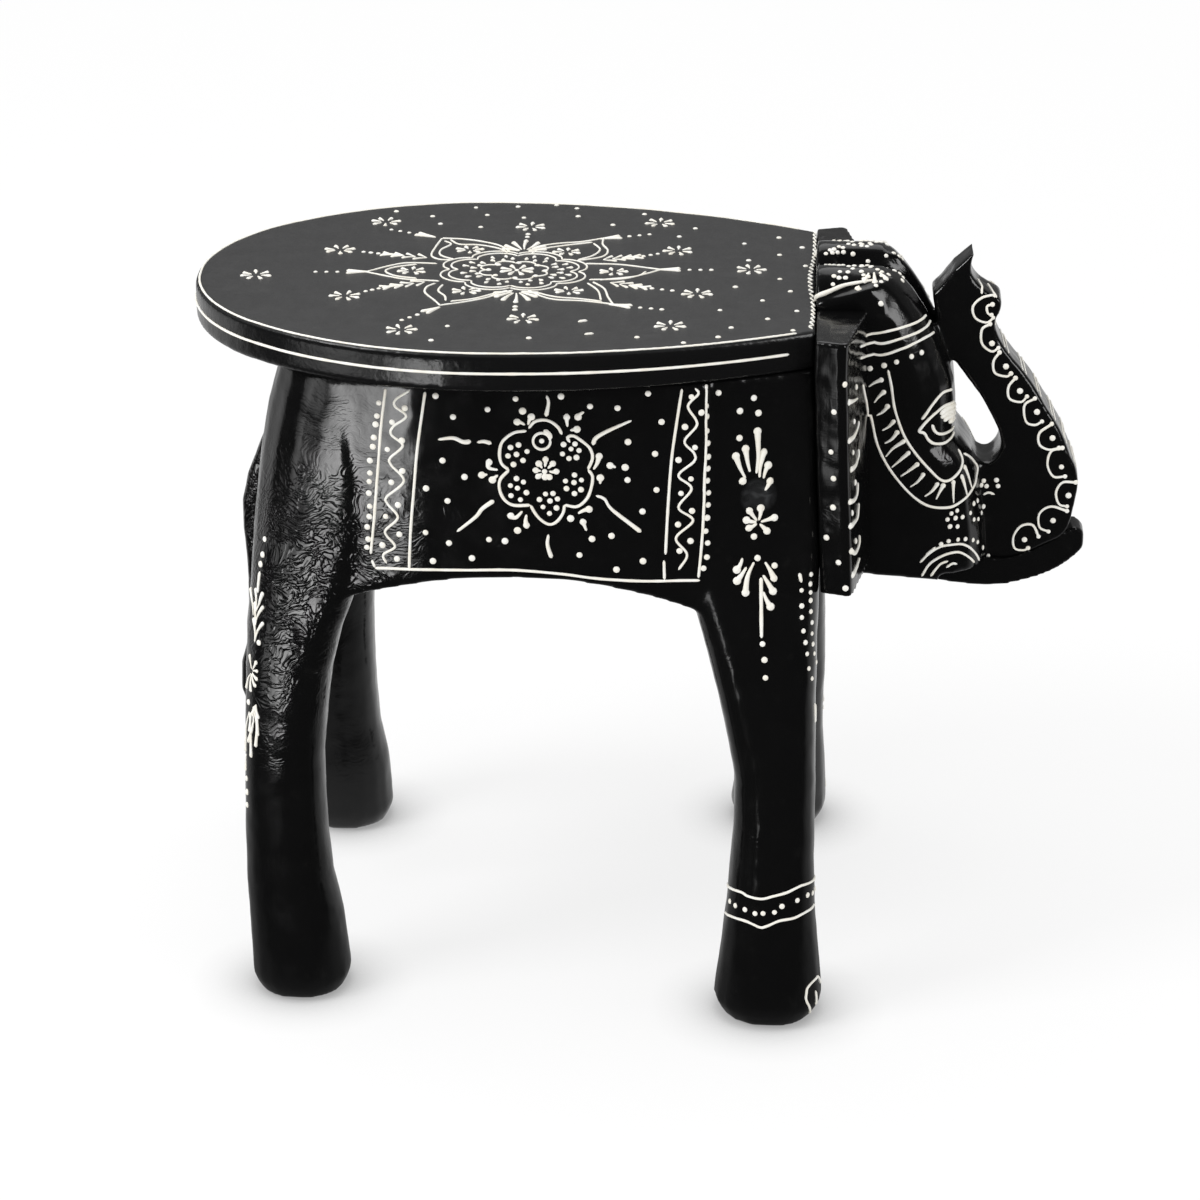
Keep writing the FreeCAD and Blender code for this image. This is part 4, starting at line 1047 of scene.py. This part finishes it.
flank_paint = new_paint(skin_of("carved_body"), 23)
both_sides(flank_paint, lines_on_flank(FLANK_BORDERS), 1.25)
both_sides(flank_paint, lines_on_flank(FLANK_WAVES), 1.1)
both_sides(flank_paint, lines_on_flank(FLANK_LOBES), 1.35)
both_sides(flank_paint, lines_on_flank(FLANK_RAYS), 1.1, 2.1)
drops_both_sides(flank_paint, lines_on_flank(FLANK_TEARS), 3.3)
for end in read_on_flank(FLANK_PETAL_ENDS):
    drops_both_sides(flank_paint, [[FLOWER_HEART.lerp(end, 0.3), end]], 3.0)
both_sides(flank_paint, [BUD_RING], 1.2)
both_sides(flank_paint, [BUD_STROKE], 2.6, 1.6)
spots_both_sides(flank_paint, [BUD_HEART, FLOWER_HEART], 2.2)
spots_both_sides(flank_paint, read_on_flank(FLANK_DOTS), 2.7)
spots_both_sides(flank_paint, read_on_flank(FLANK_BORDER_DOTS), 2.6)
spots_both_sides(flank_paint, read_on_flank(FLANK_CLUSTER_DOTS), 2.35)
paint_piece("paint_flanks", flank_paint)

# %% [markdown]
# ## Paint on the legs
# A spray climbs each leg: a fan of teardrops, a flower, a hanging fan and a row of dots. The
# front legs also have dotted columns down their front corner, an anklet and a toe nail. The
# anklets end at the corners, because the far leg shows that the inner side isn't painted. The
# rear sprays sit on the edge of the view, so their half beyond it is made up from the seen one.

# %% Leg paint
# In the photograph's pixels. A place with three numbers is in millimetres on the stool, where
# the way from the camera would miss it or only graze it.
FRONT_LEG_FANS = [
    [(745.5, 478.5), (734.5, 452.5)], [(750, 472), (745, 445)], [(756.5, 473.5), (757.5, 427.5)],
    [(759.5, 477.5), (765, 448.5)], [(763.5, 478.5), (770, 461.5)], [(765, 490.5), (771.5, 477.5)],
    [(745.5, 480), (739, 482.5)], [(742.5, 558), (734.5, 573)], [(746.5, 567), (734.5, 584)],
    [(754, 562), (745, 596.5)], [(765, 562), (775.5, 581.5)], [(763, 575), (775, 594.5)],
    [(763, 591.5), (772.5, 610)],
]
FRONT_LEG_PETAL_ENDS = [
    (747.5, 508), (761, 504.5), (778, 516.5), (769.5, 533.5), (743, 519), (745.5, 529.5),
]
FRONT_LEG_DOTS = [
    (754, 398), (758.5, 413), (740, 411), (739.5, 438), (754, 536.5), (757.5, 558), (762.5, 644),
    (764.5, 660), (765.5, 678), (774.5, 565.5),
]
FRONT_LEG_COLUMN_DOTS = [
    (802, 590.5), (802, 606), (802, 617.5), (803.5, 631), (805.5, 642.5), (807.5, 654), (809, 668.5),
    (812, 678.5), (811.5, 574.5), (811, 584), (811, 592.5), (811, 600.5), (811, 611.5), (812, 622.5),
    (812, 633.5), (813, 644), (814.5, 653.5), (816, 662),
]
FRONT_LEG_STROKES = [
    [(761, 577.5), (761.5, 638)], [(799.5, 573), (801.5, 582.5)], [(815, 703), (815, 722.5)],
]
REAR_LEG_FANS = [
    [(249.5, 615.5), (248.7, 587.1)], [(251.5, 612), (257, 593)], [(251.5, 625.5), (258, 607)],
    [(251.5, 642.5), (259, 623)], [(256, 704.5), (258.5, 719)], [(254.5, 705.5), (257.5, 736)],
    [(253, 706.5), (256, 747)], [(249.5, 711.5), (251, 757.5)], [(245.9, 753.7), (245.8, 770.5)],
]
REAR_LEG_PETAL_ENDS = [
    (247.7, 654), (254, 661.5), (256.5, 672), (256.5, 680.5), (255, 687.5), (250.5, 692),
    (246.2, 688.4),
]
REAR_LEG_DOTS = [
    (258.3, 539.8), (256.5, 555), (254.5, 564.5), (255, 643.5), (248.5, 702), (246.3, 778.4),
    (247, 792), (246.8, 804.9),
]
REAR_LEG_STROKES = [
    [(254, 571.5), (252.5, 593)],
]
ANKLETS = [
    [
        (727.7, 883.4), (738.5, 891.5), (747.5, 896), (761.5, 899), (773, 896.5), (786, 893),
        (798.5, 887), (805, 884.5), (814.4, 875.6),
    ],
    [
        (725.1, 912.2), (733.5, 917), (747.5, 922), (760, 927.5), (766.5, 926.5), (779.5, 921),
        (794.5, 918), (805, 912.5), (814.4, 903.9),
    ],
]
ANKLET_DOTS = [
    (729.7, 901.3), (735.5, 905.5), (745, 909.5), (755, 913.5), (763, 913.5), (774.5, 912.5),
    (782, 906.5), (797.5, 900.5), (807.5, 895), (812.5, 893), (78.2, -94.5, 56.5),
]
TOE_NAIL = [
    [(809.9, 1012.9), (807, 1002), (806.5, 993), (808.5, 986), (817.5, 976.5), (820.8, 982.8)],
    [(815.5, 990.5), (816, 1005)],
]


def other_half(lines):
    """The half of a rear spray beyond the leg's edge, which the photograph doesn't show."""
    return [[tail, (tail.x - 0.8, tail.y + 3.4, head.z)] for tail, head in lines]


# Middle in millimetres, petal ends, width of the petals
LEG_FLOWERS = [
    ((51.7, -85.1, 221.2), FRONT_LEG_PETAL_ENDS, 3.5),
    ((-162.5, -88.0, 149.7), REAR_LEG_PETAL_ENDS, 1.9),
]

leg_paint = new_paint(skin_of("carved_body"), 37)
drops_both_sides(leg_paint, lines_on_blocks(FRONT_LEG_FANS), 3.7)
rear_fans = lines_on_blocks(REAR_LEG_FANS)
drops_both_sides(leg_paint, rear_fans + other_half(rear_fans[1:-1]), 2.0)
for middle, ends, width in LEG_FLOWERS:
    for end in seen_on_blocks(ends):
        drops_both_sides(leg_paint, [[Vector(middle).lerp(end, 0.12), end]], width)
both_sides(leg_paint, lines_on_blocks(FRONT_LEG_STROKES), 1.8, 1.5)
both_sides(leg_paint, lines_on_blocks(REAR_LEG_STROKES), 1.6, 1.2)
both_sides(leg_paint, lines_on_blocks(ANKLETS), 1.2)
both_sides(leg_paint, lines_on_blocks(TOE_NAIL), 1.2)
spots_both_sides(leg_paint, seen_on_blocks(FRONT_LEG_DOTS + REAR_LEG_DOTS), 2.7)
spots_both_sides(leg_paint, seen_on_blocks(FRONT_LEG_COLUMN_DOTS), 2.2)
spots_both_sides(leg_paint, seen_on_blocks(ANKLET_DOTS), 2.4)
paint_piece("paint_legs", leg_paint)

# %% [markdown]
# ## Paint on the head
# Bands cross the forehead, a leaf-shaped band hangs from them round the cheek, scallops follow
# the outer edge of the trunk, and rings of dots ornament the mouth. The eye is a white almond
# with an outline, a brow and a dark pupil.

# %% Head paint
# In the photograph's pixels, with a few places in millimetres as on the legs
FOREHEAD_BANDS = [
    [(866.2, 336.5), (879, 333), (902, 327.5), (918, 321.5), (926, 315)],
    [(860.4, 346.8), (879, 343.5), (904, 337.5), (922.5, 329.5), (930.5, 320.5)],
    [(860.4, 358.3), (878.5, 355), (904, 348), (922.5, 339), (934, 332)],
]
FOREHEAD_DOTS = [
    (870, 368.5), (884, 365.5), (896.5, 362), (911.5, 356.5), (921.5, 352.5), (857.5, 289),
    (881, 303.5),
]
CHEEK_LEAF = [
    [
        (862.7, 384.6), (866.1, 401), (872, 421.5), (876.5, 442), (884.5, 460.5), (895, 476.5),
        (909, 492.5), (922.5, 503), (936, 507.5), (952, 506.5), (963.5, 499.5), (973, 488),
        (976.5, 469.5), (973, 460.5), (963.5, 453.5),
    ],
    [
        (888, 370), (891.5, 387), (895, 410), (904, 435.5), (915.5, 453.5), (929.5, 469.5), (941, 480),
        (950, 480), (959, 472), (962.5, 460.5), (958, 449),
    ],
]
LEAF_TICKS = [
    [(883.5, 379), (868.5, 387)], [(885.5, 390.5), (874, 403)], [(889, 404.5), (876.5, 415.5)],
    [(895, 420), (882, 430.5)], [(898.5, 430.5), (884.5, 443.5)], [(905.5, 440), (885.5, 457)],
    [(910, 451.5), (891.5, 467.5)], [(919, 463), (900.5, 476.5)], [(924.5, 473), (910, 487)],
    [(938.5, 482.5), (924.5, 496.5)], [(944.5, 483.5), (936, 499.5)], [(953.5, 480), (953.5, 503)],
    [(961.5, 474.5), (967, 495)], [(964, 465), (972, 488)],
]
EYE_LINES = [
    [(921.5, 419.5), (932.5, 404.5), (942.5, 393), (951.9, 389)],
    [(918, 431.5), (926, 422), (936, 412.5), (944, 406), (953.5, 401)],
    [
        (918, 431.5), (924.5, 433.5), (928, 439.5), (934, 443.5), (944, 443), (950.5, 438),
        (953.5, 431.5),
    ],
    [(932, 424.5), (934, 430), (938, 433.5), (944, 433.5), (949.5, 431), (953.5, 425.7)],
]
EYE_WHITE = [
    [(940, 414), (947, 408.5), (954.4, 403.5)], [(941, 417.5), (947, 413), (954.4, 407.9)],
    [(943.5, 420.5), (948.5, 417), (134.2, -16.2, 246.4)], [(948.5, 421.5), (954, 417.5)],
]
TRUNK_SCALLOPS = [
    [(994.5, 295), (982.5, 297.5), (973, 306.5), (975.5, 318), (986.5, 322.5), (993.5, 318)],
    [(992.5, 304.5), (987, 306.5), (988, 313.5), (991.5, 315)],
    [(990, 324), (982, 329.5), (982, 343.5), (991.5, 351.5), (998.5, 348)],
    [(999.5, 352.5), (993.5, 361.5), (995, 373), (1006.5, 376.5), (1011, 373.5)],
    [(1015.5, 378), (1008.5, 387), (1009.5, 398.5), (1021, 402), (1027, 396.5)],
    [(1035, 398.5), (1024.5, 405.5), (1026, 421.5), (1035, 425), (1042, 421.5)],
    [(1052, 424), (1039.5, 433), (1039.5, 444.5), (1048.5, 449.5), (1059, 448)],
    [(1062.5, 448), (1051, 451.5), (1047.5, 465), (1053.5, 476.5), (1065, 476.5)],
    [(1076, 482.5), (1062.5, 482.5), (1056, 492.5), (1059, 504), (1067, 506.5)],
    [(1067, 511), (1051, 506.5), (1039.5, 513.5), (1039.5, 527), (1048.5, 531.5)],
    [
        (1038.5, 536.5), (1032.5, 525), (1021, 526), (1013.5, 536.5), (1014.5, 548), (1023.5, 550),
        (1028, 548),
    ],
]
# Low ends of the pairs of bars on the trunk, in millimetres forwards and up
TRUNK_BARS = [
    (150.8, 284.0), (156.2, 273.4), (163.2, 263.2), (170.4, 253.2), (177.0, 242.6), (182.4, 231.6),
    (186.6, 220.4),
]
# In the photograph's pixels again
LIP_BARS = [
    [(977.3, 278.5), (982, 294)], [(147.6, 2, 300.4), (997, 297)],
]
TRUNK_SCALLOP_DOTS = [
    (992, 343.5), (1006, 366.5), (1020, 391), (1037, 412), (1052.5, 438), (1061.5, 467),
    (1068.5, 495.5), (1053, 520.5), (1024.5, 539.5),
]
EAR_DOTS = [
    (834, 412), (831, 452), (833.5, 478.5), (833, 507.5), (826.5, 537.5), (838.5, 562.5),
    (845.5, 588.5), (845, 384.5), (856.5, 387), (854, 421.5), (853, 452.5), (854.7, 482.4), (852, 513),
    (855.8, 541),
]
EAR_COMMAS = [
    [(857.2, 398.5), (853.8, 400.8), (848, 402.5)],
    [(858.4, 420.9), (857.7, 426.6), (853.8, 436.2), (848, 441.5)],
    [(858.6, 449), (858.4, 456.4), (855, 465.5), (850.4, 470.2)],
    [(858, 482.5), (857, 493.5), (853.8, 500.2), (848.5, 502)],
    [(92.9, -62.2, 221.9), (857.6, 516.6), (853.8, 523), (848.5, 526.5)],
    [(859.5, 535), (859, 544), (855, 553), (849.5, 550.5)],
    [(859.5, 558), (857.2, 564.5), (853.9, 572.4), (851.5, 576)],
]
DOME_SWEEP = [
    [(874, 280), (858.5, 282.5), (843, 285.5), (827.5, 292), (814.5, 301)],
]
DOME_DROPS = [
    [(874, 272.5), (875, 283.5)], [(869, 273), (863.8, 283.2)], [(879, 272.5), (103.2, -25.6, 307.6)],
    [(858.5, 286), (91.7, -33, 305.2)],
]
DOME_DOTS = [
    (834, 276), (840, 271.5), (848, 272), (839, 277.5), (845.5, 277.5), (862.5, 266.3), (861.5, 271.5),
    (863.5, 275), (868, 261.5), (871.8, 266.3), (877.5, 269.5), (882, 271.5), (864, 279), (868, 276.5),
    (882, 275.5), (888, 275.5), (833, 284), (857.5, 289.2), (881.5, 304), (902.5, 280.5), (826, 253.5),
    (830, 250), (834, 249), (832.5, 252.5), (839, 246.5), (843, 247.5), (843.5, 252), (837.5, 252.5),
    (848.5, 244), (852.5, 241.8), (854, 245), (860.7, 243.8), (861.5, 246), (867, 246.5),
    (869.8, 243.3), (875, 240.5), (880, 241), (885, 242.5), (886.5, 255.5), (894.2, 252), (899.3, 256),
    (902.5, 258.8), (853, 254),
]
CHEEK_DOTS = [
    (974, 503.5), (977.8, 500.6), (982, 506), (970.5, 513), (981.2, 512.7), (978.5, 519), (974, 519.5),
    (957, 510.5), (951.5, 513.5), (947.5, 519.5), (955.5, 518), (962.5, 517), (950, 526.5),
    (957.5, 526.5), (980, 484.5), (983.5, 480.5), (986.5, 486), (996.5, 480), (998, 486),
]
CHEEK_BOW = [
    [(982.5, 494.5), (988.5, 492.5), (994.5, 494.5)],
]
MOUTH_RINGS = [
    [
        (920, 562.5), (928.5, 554), (938.5, 547.5), (948, 545), (960.5, 544), (969, 547), (976, 554),
        (979.5, 560.5),
    ],
    [
        (921.5, 576.5), (928.5, 565), (937, 558.5), (948, 553.5), (958, 552), (966.5, 555.5),
        (974.5, 562.5),
    ],
    [(930.5, 576.5), (935.5, 569.5), (941, 563.5), (948, 561)],
    [(946, 567.5), (952.5, 563.5), (957, 564)], [(925.5, 555.5), (935.5, 547)],
]
MOUTH_DOTS = [
    (941, 544), (948.5, 541), (958, 539.5), (965.5, 539), (973, 540), (977.5, 542), (982.9, 547.4),
    (988.5, 556),
]


head_paint = new_paint(skin_of("carved_head", "carved_ear_right", "carved_ear_left"), 41)
both_sides(head_paint, lines_on_blocks(FOREHEAD_BANDS), 1.2)
both_sides(head_paint, lines_on_blocks(CHEEK_LEAF), 1.2)
for head, tail in lines_on_blocks(LEAF_TICKS):
    drops_both_sides(head_paint, [[tail, head]], 2.4)
both_sides(head_paint, lines_on_blocks(EYE_LINES), 1.4, 1.2)
both_sides(head_paint, lines_on_blocks(EYE_WHITE), 2.6, 2.6)
scallops = lines_on_blocks(TRUNK_SCALLOPS)
both_sides(head_paint, scallops, 1.2, 1.0)
drops_both_sides(head_paint, lines_on_blocks(EAR_COMMAS), 3.0)
both_sides(head_paint, lines_on_blocks(DOME_SWEEP), 1.1, 2.8)
drops_both_sides(head_paint, lines_on_blocks(DOME_DROPS), 2.8)
for forward, height in TRUNK_BARS:
    for lift in (0.0, 3.2):
        low_end = (forward + 3, -9.0, height + lift)
        high_end = (forward + 3, 12.0, height + lift + 3.0)
        stroke(head_paint, [low_end, high_end], 0.75)
for points in lines_on_blocks(LIP_BARS):
    stroke(head_paint, points, 1.1)
for points in scallops:
    spots_both_sides(head_paint, [points[0], points[-1]], 2.0)
both_sides(head_paint, lines_on_blocks(CHEEK_BOW + MOUTH_RINGS), 1.1)
spots_both_sides(head_paint, seen_on_blocks(FOREHEAD_DOTS + EAR_DOTS + TRUNK_SCALLOP_DOTS), 2.5)
spots_both_sides(head_paint, seen_on_blocks(DOME_DOTS + CHEEK_DOTS + MOUTH_DOTS), 2.1)
paint_piece("paint_head", head_paint)

# %% [markdown]
# ## Floor, world and lamps
# The room is white for the camera and for soft light, and the floor glows white over its grey
# paper, less so close to the feet, where the dimmed glow is a painted contact shadow. In
# reflections both are dim in front of the stool and brighter behind it, because in the
# photograph the near side of the stool stays nearly black.

# %% Floor and world
WHITE = (1.0, 1.0, 1.0, 1.0)
PAPER_GREY = (0.26, 0.26, 0.26, 1.0)


def mirrored_light(tree, kind, where, low, high, low_glow, high_glow):
    """White light as reflections see it, from dim in front of the stool to brighter behind it."""
    behind = add_node(tree, "ShaderNodeSeparateXYZ", {0: where}).outputs["Y"]
    glow = ramp_node(tree, behind, low, high, low_glow, high_glow)
    return add_node(tree, kind, {"Color": WHITE, "Strength": glow})


def unlike_mirrored(tree, usual, mirrored_one):
    """One shader for reflections and another for all other rays."""
    path = add_node(tree, "ShaderNodeLightPath")
    inputs = {0: path.outputs["Is Glossy Ray"], 1: usual.outputs[0], 2: mirrored_one.outputs[0]}
    return add_node(tree, "ShaderNodeMixShader", inputs)


def make_floor():
    bpy.ops.mesh.primitive_plane_add(size=14.0, location=(0.0, 0.0, -0.0002))
    floor = bpy.context.object
    floor.name = "studio_floor"
    finish, tree = new_finish("studio_floor")
    # Ambient occlusion dims the glow close to the feet: a painted contact shadow on the floor.
    painted_contact_shade = add_node(tree, "ShaderNodeAmbientOcclusion", {"Distance": 0.030}, samples=8).outputs["AO"]
    glow_with_painted_shadow = ramp_node(tree, painted_contact_shade, 0.45, 0.95, 0.30, 0.72)
    glow = add_node(tree, "ShaderNodeEmission", {"Color": WHITE, "Strength": glow_with_painted_shadow})
    paper = add_node(tree, "ShaderNodeBsdfDiffuse", {"Color": PAPER_GREY})
    usual = add_node(tree, "ShaderNodeAddShader", {0: paper.outputs[0], 1: glow.outputs[0]})
    where = add_node(tree, "ShaderNodeTexCoord").outputs["Object"]
    mirror = mirrored_light(tree, "ShaderNodeEmission", where, -0.15, 0.20, 0.03, 0.70)
    close_finish(tree, unlike_mirrored(tree, usual, mirror))
    floor.data.materials.append(finish)


def make_world():
    world = bpy.data.worlds.new("studio")
    world.use_nodes = True
    tree = world.node_tree
    tree.nodes.clear()
    room = add_node(tree, "ShaderNodeBackground", {"Color": WHITE, "Strength": 1.0})
    way = add_node(tree, "ShaderNodeTexCoord").outputs["Generated"]
    mirror = mirrored_light(tree, "ShaderNodeBackground", way, 0.02, 0.70, 0.03, 0.20)
    output = add_node(tree, "ShaderNodeOutputWorld")
    tree.links.new(unlike_mirrored(tree, room, mirror).outputs[0], output.inputs["Surface"])
    bpy.context.scene.world = world


make_floor()
make_world()
bpy.context.scene.view_settings.view_transform = "Standard"
print("floor and world ready")

# %% [markdown]
# Five soft lamps stand round the stool, and only the left key lights it in the usual way. The
# others show in reflections alone: a low window and a small lamp at the left draw the
# highlight on the haunch, one above and behind gives the seat and the forehead their sheen, and
# one at the right edges the trunk and the face.

# %% Lamps
# Name, place, target, width, height, power, seen in reflections only, spread in degrees
LAMPS = [
    ("left_window", (-0.37, -0.54, 0.085), (-0.25, -0.05, 0.20), 0.30, 0.16, 0.10, True, 50),
    ("left_side", (-0.68, -0.45, 0.10), (-0.25, -0.05, 0.20), 0.34, 0.20, 0.04, True, 60),
    ("top_back", (0.10, 1.10, 1.30), (0.0, 0.0, 0.25), 1.6, 0.9, 4.5, True, 180),
    ("left_key", (-0.90, -0.45, 1.25), (0.0, 0.0, 0.15), 0.45, 0.45, 8.0, False, 180),
    ("right_fill", (1.00, -0.55, 0.70), (0.10, 0.0, 0.22), 0.4, 0.6, 4.0, True, 180),
]


def soft_lamp(name, place, target, width, height, power, only_mirrored, spread):
    data = bpy.data.lights.new(name, "AREA")
    data.shape = "RECTANGLE"
    data.size = width
    data.size_y = height
    data.energy = power
    data.spread = math.radians(spread)
    lamp = bpy.data.objects.new(name, data)
    lamp.location = place
    lamp.rotation_euler = (Vector(target) - Vector(place)).to_track_quat("-Z", "Y").to_euler()
    bpy.context.scene.collection.objects.link(lamp)
    lamp.visible_camera = False
    lamp.visible_diffuse = not only_mirrored


for lamp in LAMPS:
    soft_lamp(*lamp)
print(len(LAMPS), "lamps ready")

# %% [markdown]
# ## Last update


bpy.context.view_layer.update()
